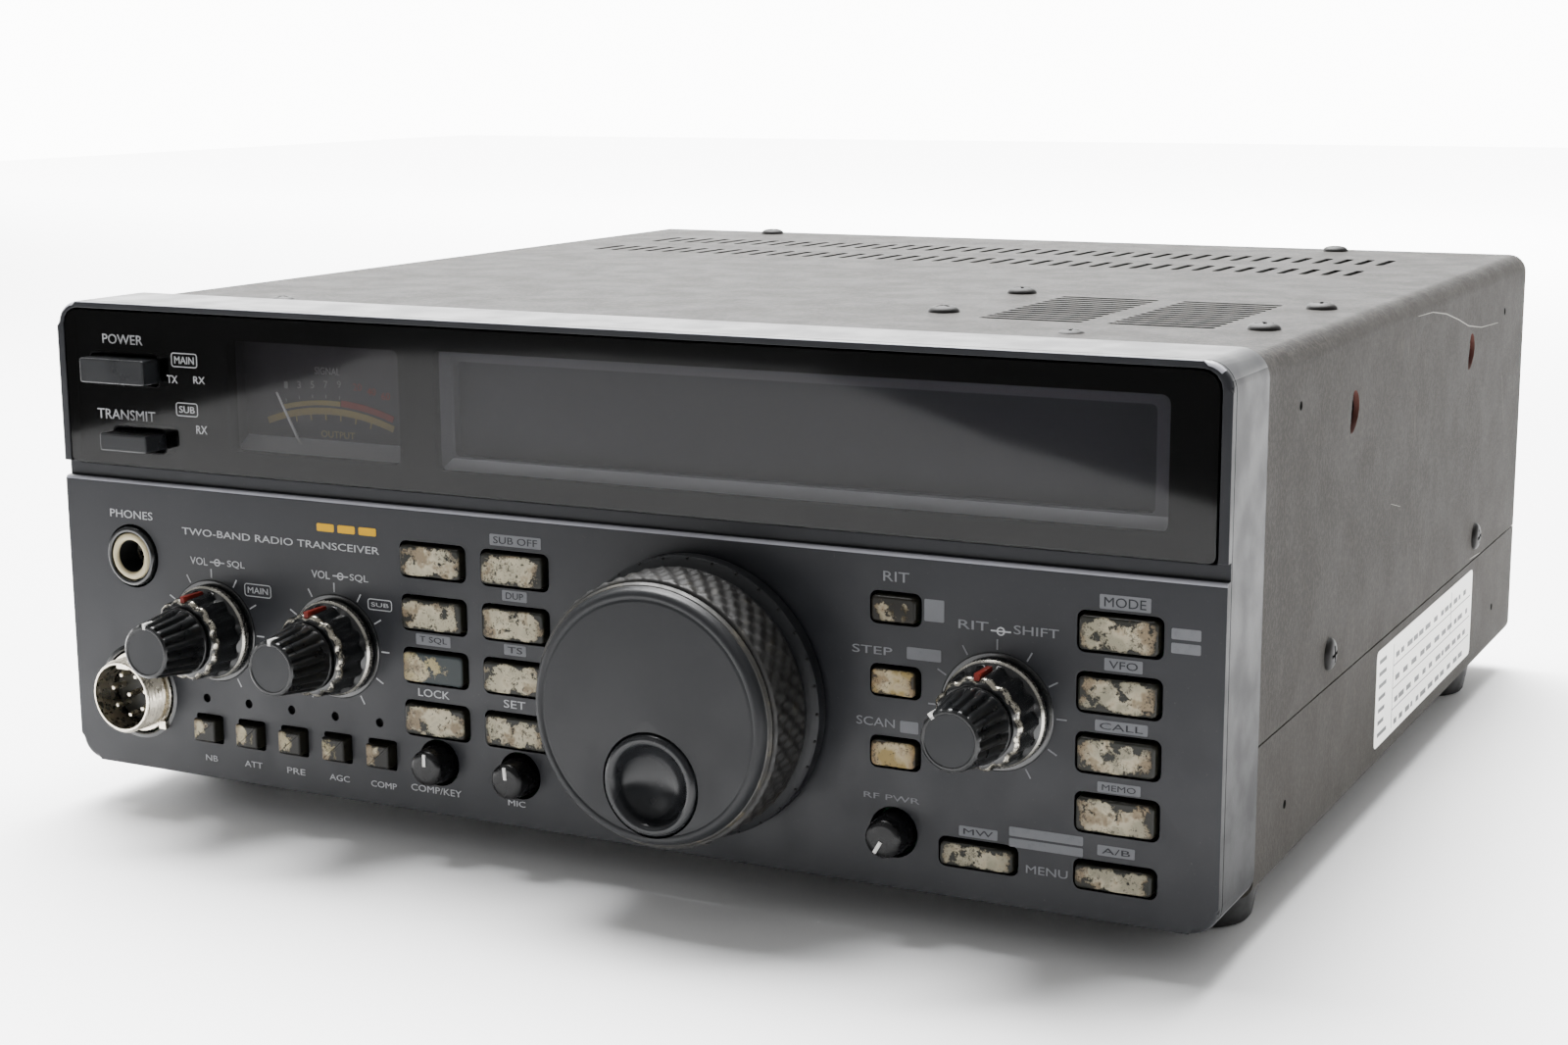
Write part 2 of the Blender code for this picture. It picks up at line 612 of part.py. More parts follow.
def covers():
    """Upper and lower covers, which meet at a seam low on each side."""
    upper = channel("top_cover", CASE_TOP, SEAM + GAP / 2, BEND, 1, CASE)
    slots = tool("bracket_slots", boxes=[((-130, y - 0.9, 80.5), (130, y + 0.9, 88.5)) for y in SLOT_Y])
    combine(upper, "DIFFERENCE", slots)
    channel("bottom_cover", SEAM - GAP / 2, LOW, LOW_BEND, -1, CASE)


def chassis():
    """Cast chassis: two side walls, a shelf between them, and a heat sink block under the rear vents."""
    wall = CHASSIS_HALF - 2.0
    frame = block("chassis", (-CHASSIS_HALF, CHASSIS_FRONT, 12.0), (CHASSIS_HALF, CHASSIS_BACK, 98.0),
                  ALUMINIUM)
    pockets = tool("chassis_pockets", boxes=[
        ((-wall, CHASSIS_FRONT - 5, SHELF[1]), (wall, CHASSIS_BACK + 5, 105.0)),
        ((-wall, CHASSIS_FRONT - 5, 5.0), (wall, CHASSIS_BACK + 5, SHELF[0]))])
    combine(frame, "DIFFERENCE", pockets)
    fins = []
    for index in range(FINS):
        across = (index - (FINS - 1) / 2) * FIN_STEP
        fins.append(((across - 1.0, 18.0, SHELF[1] - 0.5), (across + 1.0, 86.0, 92.0)))
    pillars = [((x, y), 3.0, SHELF[1] - 0.5, 54.2, 8, "Z") for x in (-100, 100) for y in (-84, 2)]
    combine(frame, "UNION", tool("chassis_fins", fins, pillars))


def main_board():
    """Main circuit board on the chassis pillars, with three shield cans."""
    board = block("main_board", (-108.0, -91.0, 54.5), (108.0, 9.0, 56.1), BOARD)
    cans = [((-98, -70, 55.8), (-48, -10, 68.0)), ((-36, -78, 55.8), (22, -30, 66.0)),
            ((46, -76, 55.8), (98, -20, 64.0))]
    combine(board, "UNION", tool("shield_cans", cans))


def speaker():
    """Loudspeaker facing up: the cone's mouth, the basket and the magnet."""
    profile = [(-4.0, 0.0), (-4.0, 8.0), (-7.0, 9.0), (-1.2, 27.5), (0.0, 28.0), (0.0, 32.5), (-1.6, 32.5),
               (-13.0, 19.0), (-24.0, 19.0), (-24.0, 0.0)]
    turned("speaker", profile, (SPEAKER[0], SPEAKER[1], SPEAKER_TOP), BLACK, facing="up")


def feet():
    """Four tapered rubber feet with flat soles."""
    top = FOOT_HEIGHT - GAP
    profile = [(top, 0.0), (top, 10.2), (1.6, 9.2), (0.0, 7.8), (0.0, 0.0)]
    for fore, y in zip(("front", "rear"), FOOT_Y):
        for side, x in (("left", -FOOT_X), ("right", FOOT_X)):
            turned(f"foot_{fore}_{side}", profile, (x, y, 0.0), RUBBER, facing="up", steps=20)


# ---------------------------------------------------------------- rear panel, sockets and fan
def rear_panel():
    """Rear plate with a slotted fan grille and an opening for each socket."""
    inner, outer = REAR_PLATE
    plate = rounded_plate("rear_panel", (-118.8, inner, 9.9), (118.8, outer, 99.9), CORNER, ALUMINIUM)
    boxes = []
    for index in range(-4, 5):
        offset = index * GRILLE_STEP
        half = math.sqrt((FAN_HOLE - 1.5) ** 2 - offset ** 2)
        height = FAN[1] + offset
        boxes.append(((FAN[0] - half, inner - 2, height - GRILLE_SLOT / 2),
                      (FAN[0] + half, outer + 2, height + GRILLE_SLOT / 2)))
    half_wide, half_high = (size + GAP for size in SHROUD_HALF)
    boxes.append(((DC_SOCKET[0] - half_wide, inner - 2, DC_SOCKET[1] - half_high),
                  (DC_SOCKET[0] + half_wide, outer + 2, DC_SOCKET[1] + half_high)))
    rods = [(place, SPIGOT + 0.4, inner - 2, outer + 2, 16) for place in ANTENNA_SOCKETS.values()]
    combine(plate, "DIFFERENCE", tool("rear_openings", boxes, rods))


def antenna_socket(name, centre):
    """Coaxial socket: square flange, threaded barrel with a contact inside, and a rear spigot."""
    x, z = centre
    front = REAR_PLATE[1] + GAP
    flange = block(name, (x - FLANGE_HALF, front, z - FLANGE_HALF),
                   (x + FLANGE_HALF, front + 2.2, z + FLANGE_HALF), NICKEL)
    end = SOCKET_LENGTH
    profile = [(end - 3.0, 0.0), (end - 3.0, CONTACT_RADIUS), (BARREL_FLOOR, CONTACT_RADIUS),
               (BARREL_FLOOR, BARREL_BORE), (end, BARREL_BORE), (end, BARREL_RADIUS), (0.5, BARREL_RADIUS),
               (0.5, SPIGOT), (-8.0, SPIGOT), (-8.0, 0.0)]
    barrel = turned(name + "_barrel", profile, (x, REAR, z), None, "rear", 20, collection=TOOLS)
    combine(flange, "UNION", barrel)


def dc_socket():
    """Power inlet: a square-cornered shroud, open to the rear."""
    x, z = DC_SOCKET
    wide, high = SHROUD_HALF
    shroud = block("dc_socket", (x - wide, 108.0, z - high), (x + wide, SHROUD_BACK, z + high), BLACK)
    wide -= SHROUD_WALL
    high -= SHROUD_WALL
    mouth = tool("dc_mouth", boxes=[((x - wide, 111.0, z - high), (x + wide, SHROUD_BACK + 5, z + high))])
    combine(shroud, "DIFFERENCE", mouth)


def fan():
    """Axial fan: a square frame with a motor boss on struts, and a bladed rotor on the boss's pin."""
    half = FAN_SIZE / 2
    back = REAR_PLATE[0] - GAP
    x, z = FAN
    frame = block("fan_frame", (x - half, FAN_FRONT, z - half), (x + half, back, z + half), BLACK)
    combine(frame, "DIFFERENCE", tool("fan_bore", rods=[(FAN, FAN_HOLE, FAN_FRONT - 2, back + 2, 32)]))
    reach = FAN_HOLE + 1
    arm = (FAN_FRONT + 0.4, FAN_FRONT + 2.4)
    struts = tool("fan_struts", boxes=[((x - reach, arm[0], z - 1.5), (x + reach, arm[1], z + 1.5))])
    posts = tool("fan_posts", boxes=[((x - 1.5, arm[0], z - reach), (x + 1.5, arm[1], z + reach))])
    boss = tool("fan_boss", rods=[(FAN, FAN_HUB, FAN_FRONT + 0.2, FAN_FRONT + 2.8, 20)])
    pin = tool("fan_pin", rods=[(FAN, FAN_PIN, FAN_FRONT + 2, back - 3.5, 10)])
    for piece in (struts, posts, boss, pin):
        combine(frame, "UNION", piece)
    fan_rotor(back)


def fan_rotor(back):
    """Bladed rotor, with a blind bore that runs on the motor's pin."""
    x, z = FAN
    bore = FAN_PIN + SHAFT_CLEARANCE
    profile = [(-1.0, 0.0), (-1.0, FAN_HUB), (-13.5, FAN_HUB + 0.5), (-13.5, bore), (-3.0, bore),
               (-3.0, 0.0)]
    rotor = turned("fan_rotor", profile, (x, back, z), BLACK, facing="rear", steps=28)
    bm = bmesh.new()
    for index in range(BLADES):
        made = add_box(bm, (FAN_HUB - 0.7, -0.7, -5.2), (FAN_HOLE - 1.4, 0.7, 5.2))
        pitch = Matrix.Rotation(math.radians(38), 4, "X")
        turn = Matrix.Rotation(2 * math.pi * index / BLADES, 4, "Z")
        bmesh.ops.transform(bm, matrix=turn @ Matrix.Translation((0, 0, -7.2)) @ pitch, verts=made)
    blades = finish("fan_blades", to_mesh("fan_blades", bm), (x, back, z), None, TOOLS)
    blades.rotation_euler.x = -math.pi / 2
    combine(rotor, "UNION", blades)


# ---------------------------------------------------------------- assembly
def hang(child, parent):
    """Parent one piece to another without moving it."""
    child = bpy.data.objects[child]
    parent = bpy.data.objects[parent]
    bpy.context.view_layer.update()
    child.parent = parent
    child.matrix_parent_inverse = parent.matrix_world.inverted()


def build():
    front_panel()
    display_window()
    display_module()
    meter()
    front_board()
    dial_encoder()
    phones_jack()
    mic_connector()
    keys()
    for label, centre in VOLUME_KNOBS.items():
        concentric_knobs(label, centre)
    for name, centre in SMALL_KNOBS.items():
        small_knob(name, centre)
    main_dial()
    finger_cup()
    hang("finger_cup", "main_dial")
    covers()
    chassis()
    main_board()
    speaker()
    feet()
    rear_panel()
    for name, centre in ANTENNA_SOCKETS.items():
        antenna_socket(name, centre)
    dc_socket()
    fan()


build()
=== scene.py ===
"""Looks of a compact base-station radio transceiver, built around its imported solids.

Lengths are in millimetres in the solids' own frame, and MM turns them into metres: +Z is up, the front
panel faces -Y and the sockets at the rear face +Y. Each piece takes its place from the box of the solid
that it stands for. "along" is a distance outwards from the plane that a turned piece stands on.
"""
import math
import random

import bmesh
import bpy
from mathutils import Matrix, Vector


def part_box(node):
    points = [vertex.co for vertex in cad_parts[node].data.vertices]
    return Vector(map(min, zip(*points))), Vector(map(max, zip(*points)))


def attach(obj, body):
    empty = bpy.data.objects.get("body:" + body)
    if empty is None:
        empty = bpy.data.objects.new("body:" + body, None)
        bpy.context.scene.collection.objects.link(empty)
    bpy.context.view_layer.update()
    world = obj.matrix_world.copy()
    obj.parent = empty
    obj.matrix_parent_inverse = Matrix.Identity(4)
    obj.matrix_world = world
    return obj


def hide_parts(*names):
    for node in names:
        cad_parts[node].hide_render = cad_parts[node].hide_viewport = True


MM = 0.001
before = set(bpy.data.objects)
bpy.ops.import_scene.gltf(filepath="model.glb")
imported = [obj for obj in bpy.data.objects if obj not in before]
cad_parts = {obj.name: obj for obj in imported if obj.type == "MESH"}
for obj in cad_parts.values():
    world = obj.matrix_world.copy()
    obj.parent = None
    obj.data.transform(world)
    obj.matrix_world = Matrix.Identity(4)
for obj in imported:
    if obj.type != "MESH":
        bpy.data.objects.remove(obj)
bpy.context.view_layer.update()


def span(node):
    """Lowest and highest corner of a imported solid, in millimetres."""
    low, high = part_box(node)
    return low / MM, high / MM


def middle(node):
    low, high = span(node)
    return (low + high) / 2


def on_front(node, x=0.0, y=0.0, z=0.0):
    """Point on the front plane at the middle of a solid, moved by x, y and z."""
    spot = middle(node)
    return (spot.x + x, FRONT + y, spot.z + z)


FRONT = span("display_window")[0].y
CASE_LOW, CASE_HIGH = span("top_cover")
FLOOR_LOW, FLOOR_HIGH = span("bottom_cover")
SIDE = CASE_HIGH.x
ROOF = CASE_HIGH.z
BACK = CASE_HIGH.y
CLEARANCE = 0.4
LIP = 0.8
KEY_GAP = 0.6
BUTTON_GAP = 0.9
WALL = 2.5
ROOF_WALL = 2.3
RIGHT_ANGLE = math.pi / 2


# ---------------------------------------------------------------- materials
def srgb(code):
    """Linear colour, with alpha, of a hex code such as 4a4b4e."""
    parts = [int(code[i:i + 2], 16) / 255 for i in (0, 2, 4)]
    return (*[v / 12.92 if v <= 0.04045 else ((v + 0.055) / 1.055) ** 2.4 for v in parts], 1.0)


class Nodes:
    """Short calls for the nodes of one tree."""

    def __init__(self, tree):
        self.tree = tree

    def add(self, kind, inputs=(), **settings):
        node = self.tree.nodes.new(kind)
        for key, value in settings.items():
            setattr(node, key, value)
        for key, value in dict(inputs).items():
            self.feed(node.inputs[key], value)
        return node

    def feed(self, socket, value):
        """Give a socket a link, a plain value, or a colour by its hex code."""
        if isinstance(value, bpy.types.NodeSocket):
            self.tree.links.new(value, socket)
        else:
            socket.default_value = srgb(value) if isinstance(value, str) else value

    def parts(self, vector):
        """The X, Y and Z of a vector."""
        return self.add("ShaderNodeSeparateXYZ", {"Vector": vector}).outputs

    def between(self, value, low, high, start=0.0, stop=1.0):
        """Value from low to high, turned smoothly into start to stop."""
        wanted = {"Value": value, "From Min": low, "From Max": high, "To Min": start, "To Max": stop}
        return self.add("ShaderNodeMapRange", wanted, interpolation_type="SMOOTHSTEP").outputs["Result"]

    def mix(self, factor, first, second):
        wanted = {"Factor": factor, 6: first, 7: second}
        return self.add("ShaderNodeMix", wanted, data_type="RGBA").outputs[2]

    def maths(self, operation, first, second=0.0):
        return self.add("ShaderNodeMath", {0: first, 1: second}, operation=operation).outputs[0]

    def times(self, first, second):
        return self.maths("MULTIPLY", first, second)

    def plus(self, first, second):
        return self.maths("ADD", first, second)

    def minus(self, first, second):
        return self.maths("SUBTRACT", first, second)


class Finish(Nodes):
    """A Principled material; sizes and depths are in millimetres."""

    def __init__(self, name, **sockets):
        self.material = bpy.data.materials.new(name)
        self.material.use_nodes = True
        super().__init__(self.material.node_tree)
        self.shader = self.tree.nodes["Principled BSDF"]
        coords = self.add("ShaderNodeTexCoord").outputs
        self.place = coords["Object"]
        self.across = coords["Generated"]
        for socket, value in sockets.items():
            self.set(socket.replace("_", " "), value)

    def set(self, socket, value):
        self.feed(self.shader.inputs[socket], value)

    def noise(self, size, detail=2.0, rough=0.5, place=None):
        """Noise from 0 to 1 whose lumps are about this many millimetres across."""
        wanted = {"Vector": place or self.place, "Scale": 1 / (size * MM), "Detail": detail}
        return self.add("ShaderNodeTexNoise", {**wanted, "Roughness": rough}).outputs["Fac"]

    def stretched(self, x, y, z):
        """The object's coordinates, squeezed along each axis by a factor."""
        return self.add("ShaderNodeMapping", {"Vector": self.place, "Scale": (x, y, z)}).outputs["Vector"]

    def axis(self, letter):
        """One of the object's coordinates, in millimetres."""
        return self.times(self.parts(self.place)[letter], 1 / MM)

    def patches(self, size, detail, rough, low, high, stop=1.0):
        """Patches of this size, from 0 between them to stop; low and high say how much they cover."""
        return self.between(self.noise(size, detail, rough), low, high, 0.0, stop)

    def paint(self, factor, first, second):
        self.set("Base Color", self.mix(factor, first, second))

    def gloss(self, size, detail, low, high):
        """Roughness that drifts between two values."""
        self.set("Roughness", self.between(self.noise(size, detail), 0.3, 0.7, low, high))

    def bump(self, height, depth):
        """Raise the surface by up to depth where height is 1."""
        wanted = {"Height": height, "Distance": depth * MM, "Strength": 1.0}
        self.set("Normal", self.add("ShaderNodeBump", wanted).outputs["Normal"])


def moulded(name, colour, roughness=0.45, grain=0.3, depth=0.012, dust="8a8a86", dusty=0.12, shine=0.25):
    """Moulded plastic: a fine grain, slightly uneven gloss and a little dust."""
    made = Finish(name, Specular_IOR_Level=shine)
    darker = [part * 0.93 for part in srgb(colour)[:3]] + [1.0]
    base = made.mix(made.patches(45, 3, 0.5, 0.35, 0.7), colour, darker)
    made.paint(made.patches(0.7, 5, 0.7, 0.64, 0.8, dusty), base, dust)
    made.gloss(9, 4, roughness - 0.05, roughness + 0.07)
    made.bump(made.noise(grain, 2), depth)
    return made.material


def textured_paint():
    """Fine crinkled dark paint on sheet metal, scuffed and rubbed grey in places; painted light makes it
    lighter on the faces that look sideways and towards the bottom.
    """
    made = Finish("case_paint", Specular_IOR_Level=0.04)
    grain = made.noise(1.0, 4, 0.7)
    facing = made.parts(made.add("ShaderNodeNewGeometry").outputs["Normal"])
    upright = made.between(made.maths("ABSOLUTE", facing["X"]), 0.6, 0.95)
    brushed = made.noise(2.4, 6, 0.75, made.stretched(1.0, 1.0, 0.2))
    scuffs = made.times(made.between(brushed, 0.5, 0.72), made.patches(26, 4, 0.5, 0.52, 0.7))
    base = made.mix(made.patches(70, 3, 0.5, 0.3, 0.7), "1c1b1a", "1a1918")
    base = made.mix(made.between(grain, 0.42, 0.66, 0.0, 0.9), base, "34312e")
    # painted light: lighter towards the bottom, as if lit from the floor
    base = made.mix(made.between(made.axis("Z"), 5, 65, 0.3, 0.0), base, "4c4944")
    # painted light: the faces that look sideways are painted lighter
    base = made.mix(made.times(upright, 0.5), base, "3a3835")
    base = made.mix(made.times(scuffs, 0.34), base, "57524b")
    made.paint(made.patches(0.9, 6, 0.8, 0.64, 0.8, 0.4), base, "6d675d")
    rough = made.between(made.noise(9, 4), 0.3, 0.7, 0.5, 0.58)
    made.set("Roughness", made.plus(rough, made.times(upright, 0.2)))
    made.bump(grain, 0.14)
    return made.material


def worn_key(name, paint, bare, share, stain="54432e", lean=0.0):
    """Key whose paint has worn off its middle and lasts at its rim; share is how much of it has gone."""
    made = Finish(name, Specular_IOR_Level=0.15)
    x, z = [made.minus(made.parts(made.across)[letter], 0.5) for letter in "XZ"]
    out_x, out_z = [made.times(made.maths("ABSOLUTE", offset), 2.0) for offset in (x, z)]
    edge = made.plus(made.maths("POWER", out_x, 5.0), made.maths("POWER", out_z, 5.0))
    wear = made.minus(made.noise(3.0, 6, 0.68), made.times(edge, 0.17))
    wear = made.minus(wear, made.times(x, lean))
    limit = 0.62 - 0.3 * share
    worn = made.between(wear, limit - 0.03, limit + 0.03)
    cream = made.mix(made.patches(4.0, 3, 0.5, 0.4, 0.66), bare, "bdb59c")
    brown = made.plus(made.noise(4.0, 3, 0.6), made.times(made.maths("POWER", out_x, 3.0), 0.16))
    cream = made.mix(made.between(brown, 0.46, 0.66, 0.0, 0.85), cream, stain)
    grime = made.plus(made.noise(1.5, 7, 0.8), made.times(edge, 0.05))
    cream = made.mix(made.between(grime, 0.55, 0.62, 0.0, 0.8), cream, "26241f")
    made.paint(worn, paint, cream)
    made.set("Roughness", made.mix(worn, (0.3, 0.3, 0.3, 1.0), (0.42, 0.42, 0.42, 1.0)))
    made.bump(made.minus(1.0, worn), 0.06)
    return made.material


def glossy(name, colour, roughness=0.14, wear="c9c5bb", share=0.0, size=1.4, shine=0.5):
    """Shiny black plastic; share of it, in small patches, is worn to bright metal or plastic."""
    made = Finish(name, Specular_IOR_Level=shine)
    if share == 0.0:
        worn = made.patches(size, 6, 0.8, 0.72, 0.8, 0.12)
    else:
        worn = made.patches(size, 6, 0.75, 0.66 - 0.3 * share, 0.7 - 0.3 * share)
        made.set("Metallic", made.times(worn, 0.9))
        made.bump(made.noise(0.4, 3), 0.01)
    made.paint(worn, colour, wear)
    made.gloss(2.5, 4, roughness, roughness + 0.12)
    return made.material


def metal(name, colour, roughness=0.25, stain="6d6354", stained=0.35, grain=1.0):
    """Plated or bare metal with dull patches."""
    made = Finish(name, Metallic=1.0)
    made.paint(made.patches(2.2, 6, 0.7, 0.5, 0.74, stained), colour, stain)
    made.set("Roughness", made.between(made.noise(1.2, 5), 0.3, 0.72, roughness, roughness + 0.2))
    made.bump(made.noise(0.35 * grain, 3), 0.008 * grain)
    return made.material


def rubber(name, colour, roughness=0.75, rubbed="5b5344", share=0.3):
    """Matt rubber, rubbed to a brown bloom in places."""
    made = Finish(name)
    made.paint(made.patches(4.5, 6, 0.7, 0.62 - 0.3 * share, 0.85 - 0.3 * share), colour, rubbed)
    made.gloss(3, 3, roughness - 0.08, roughness + 0.1)
    made.bump(made.noise(0.25, 3), 0.02)
    return made.material


def smoked_glass():
    """Smoked acrylic: it dims what is behind it and mirrors a little at its surface."""
    made = Finish("smoked_acrylic")
    colour = made.mix(made.patches(0.9, 2, 0.5, 0.79, 0.83), "cdcdce", "77776f")
    clear = made.add("ShaderNodeBsdfTransparent", {"Color": colour})
    gloss = made.add("ShaderNodeBsdfGlossy", {"Color": "f0f0f0", "Roughness": 0.05})
    outer = made.minus(1.0, made.add("ShaderNodeNewGeometry").outputs["Backfacing"])
    share = made.times(made.add("ShaderNodeFresnel", {"IOR": 1.49}).outputs["Fac"], outer)
    joined = made.add("ShaderNodeMixShader", {0: share, 1: clear.outputs[0], 2: gloss.outputs[0]})
    made.feed(made.tree.nodes["Material Output"].inputs["Surface"], joined.outputs[0])
    return made.material


def printed(name, colour, roughness=0.55, faded="7c7c78"):
    """Screen-printed ink, slightly faded."""
    made = Finish(name, Roughness=roughness, Specular_IOR_Level=0.15)
    made.paint(made.patches(1.5, 5, 0.7, 0.5, 0.75, 0.45), colour, faded)
    made.bump(made.noise(0.2, 2), 0.004)
    return made.material


def board():
    """Green circuit board with lighter tracks and copper pads."""
    made = Finish("circuit_board", Roughness=0.4)
    wanted = {"Vector": made.place, "Scale": 1 / (6 * MM), "Mortar Size": 0.03}
    tracks = made.add("ShaderNodeTexBrick", wanted).outputs["Fac"]
    pads = made.add("ShaderNodeTexVoronoi", {"Vector": made.place, "Scale": 1 / (5 * MM)})
    round_pads = made.between(pads.outputs["Distance"], 0.1, 0.14, 1.0, 0.0)
    made.paint(round_pads, made.mix(tracks, "1c5a33", "2f7a49"), "b9a06a")
    made.bump(tracks, 0.03)
    return made.material


PANEL = moulded("panel_plastic", "1e1f22", 0.36, shine=0.2)
# darker copy of the panel plastic for the moulding's side faces: painted shade
PANEL_SIDE_SHADE = moulded("panel_side_painted_shade", "151618", 0.42, shine=0.05)
# near-black: the real colour of the film behind the pane, and painted shade on the walls of the moulding's
# wells, openings and groove and in the button sleeves
BLACK_FILM_AND_SHADE = moulded("mask_black_and_painted_shade", "060607", 0.5, grain=2.0, depth=0.002, dusty=0.0, shine=0.05)
DISPLAY_LIP = moulded("display_lip", "f0f0f4", 0.5, dusty=0.03)
# light grey for the moulding's up-turned edges at the groove and along the top: a painted highlight
MOULDING_EDGE_HIGHLIGHT = moulded("moulding_edge_painted_highlight", "8e8e95", 0.34, dusty=0.05)
# near-white finish for the pane's top bevel: a painted highlight, standing in for the reflection along its top
# edge
PANE_HIGHLIGHT = moulded("pane_painted_highlight", "e4e6ee", 0.2, dusty=0.05)
GLASS = smoked_glass()
PAINT = textured_paint()
BUTTON = moulded("button_plastic", "1a1b1d", 0.3, 0.25, 0.01)
KEY_CREAM = worn_key("worn_key", "1b1b17", "8b8571", 0.7)
KEY_RIGHT = worn_key("worn_key_right", "1b1b17", "767160", 0.64)
KEY_DARK = worn_key("worn_key_dark", "23292a", "857b5a", 0.4, lean=0.55)
KEY_OLIVE = worn_key("worn_key_olive", "14120d", "423a28", 0.45)
KEY_TAN = worn_key("worn_key_tan", "2a241a", "77663e", 0.85, "5c4526")
KEY_SMALL = worn_key("worn_small_button", "14130f", "857c60", 0.5, lean=0.35)
KEY_SKIRT = moulded("key_skirt", "1b1a14", 0.35, dust="4a4230", dusty=0.6)
GLOSS_BLACK = glossy("gloss_black", "101112")
KNOB_BLACK = glossy("knob_black", "0c0d0e", 0.26, shine=0.35)
LEVEL_BLACK = glossy("level_knob_black", "0b0b0c", 0.22, shine=0.2)
KNOB_FACE = moulded("knob_face", "1d1e20", 0.5, 0.2, 0.008, shine=0.2)
CHROME_WORN = glossy("worn_chrome", "15140f", 0.16, "a39e92", 0.6, 1.1)
CHROME = metal("knob_chrome", "a8a59d", 0.14, "3e3b34", 0.6)
NICKEL = metal("nickel", "d2cbbb", 0.2, "a79e88", 0.12, 0.2)
STEEL = metal("steel", "9b9a97", 0.32)
ALUMINIUM = metal("aluminium", "a9a9a8", 0.38, "77756f", 0.3)
BLACK_SCREW = moulded("black_screw", "100f0e", 0.5, 0.3, 0.01, "3a3733", 0.5, 0.12)
DIAL_FACE = moulded("dial_face", "191a1c", 0.42, 0.35, 0.015, dusty=0.05, shine=0.2)
DISH = moulded("dish_plastic", "18191b", 0.22, 0.4, 0.006, dusty=0.04)
DIAL_EDGE = rubber("dial_edge", "1b1a17", 0.5, "443e30", 0.35)
GRIP = rubber("grip_rubber", "0c0b0a", 0.6, "2c281e", 0.3)
FOOT = rubber("foot_rubber", "141414", 0.7, "3a3936", 0.2)
CREAM = moulded("cream_bush", "a89e80", 0.4, 0.2, 0.01, "5b5340", 0.5)
INSERT = moulded("socket_insert", "1a1a16", 0.4, dusty=0.05)
PRIMER = moulded("red_primer", "4a2a24", 0.6)
# near-black for the insides of bores, jacks, vents and slits: painted shade; also the black of the dots round
# the dial's flange
HOLE = moulded("dark_inside", "070707", 0.7, dusty=0.0)
WHITE_INK = printed("pale_ink", "929395", faded="727375")
FAINT_INK = printed("faint_ink", "626366", faded="4c4d50")
PLATE_INK = printed("plate_ink", "5a5b5e", faded="4c4d50")
DARK_INK = printed("dark_ink", "202124", faded="2e2f32")
AMBER_INK = printed("amber_ink", "b48a00", faded="a07a00")
POINTER_WHITE = printed("white_inlay", "c9c8c5", faded="9a9995")
POINTER_RED = printed("red_inlay", "70251e", faded="4a1d18")
PAPER = printed("label_paper", "efeeea", 0.6, "dfddd6")
PAPER_INK = printed("label_ink", "4a4a4c", faded="6a6a6a")
METER_DARK = moulded("meter_black", "454246", 0.6)
METER_FRAME = moulded("meter_frame", "f0f0f4", 0.5)
SCRATCH = printed("bare_scratch", "5f5b55", faded="45423d")
SCALE_YELLOW = printed("scale_yellow", "a8955a", faded="887848")
SCALE_RED = printed("scale_red", "94382f", faded="742c26")
SCALE_GREY = printed("scale_grey", "8b8b8b")
NEEDLE = printed("needle_paint", "f2f2f0", faded="d8d8d6")
DISPLAY_GREY = moulded("display_film", "4a4b50", 0.35, grain=2.0, depth=0.002, dusty=0.03)
DISPLAY_FRAME = moulded("display_frame", "6c6c72", 0.5, dusty=0.03)
BOARD = board()
CONE = rubber("paper_cone", "1b1a19", 0.85)
WHITE_PLASTIC = moulded("white_insulator", "d8d4c8", 0.45)
BRASS = metal("brass", "b08d4b", 0.25, "6a5126", 0.4)


# ---------------------------------------------------------------- mesh helpers
FACING = {"front": Matrix.Rotation(RIGHT_ANGLE, 4, "X"), "rear": Matrix.Rotation(-RIGHT_ANGLE, 4, "X"),
          "up": Matrix.Identity(4), "down": Matrix.Rotation(math.pi, 4, "X"),
          "right": Matrix.Rotation(RIGHT_ANGLE, 4, "Y"), "left": Matrix.Rotation(-RIGHT_ANGLE, 4, "Y")}


def piece(name, bm, finishes, body="radio", replaces=(), smooth=35):
    """Turn a mesh in millimetres into a named piece that rides on a body."""
    bmesh.ops.recalc_face_normals(bm, faces=bm.faces)
    bmesh.ops.scale(bm, vec=(MM, MM, MM), verts=bm.verts)
    mesh = bpy.data.meshes.new(name)
    bm.to_mesh(mesh)
    bm.free()
    for finish in finishes:
        mesh.materials.append(finish)
    made = link(name, mesh)
    mesh.shade_smooth()
    mesh.set_sharp_from_angle(angle=math.radians(smooth))
    flat_faces = made.modifiers.new("flat_faces", "WEIGHTED_NORMAL")
    flat_faces.keep_sharp = True
    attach(made, body)
    if replaces:
        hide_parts(*replaces)


def thread(pitch, depth, middle_share, where):
    """A wave that cuts a screw thread of this pitch where the test, on radius and along, accepts."""
    def wave(angle, along, radius):
        if not where(radius, along):
            return 0.0
        return depth * (2 * abs((along / pitch + angle / (2 * math.pi)) % 1.0 - 0.5) - middle_share)
    return wave


def solid(bm, low, high, slot=0):
    """Add a box between two corners."""
    size = [b - a for a, b in zip(low, high)]
    place = Matrix.Translation([(a + b) / 2 for a, b in zip(low, high)]) @ Matrix.Diagonal((*size, 1.0))
    verts = bmesh.ops.create_cube(bm, size=1.0, matrix=place)["verts"]
    for face in {face for vert in verts for face in vert.link_faces}:
        face.material_index = slot
    return verts


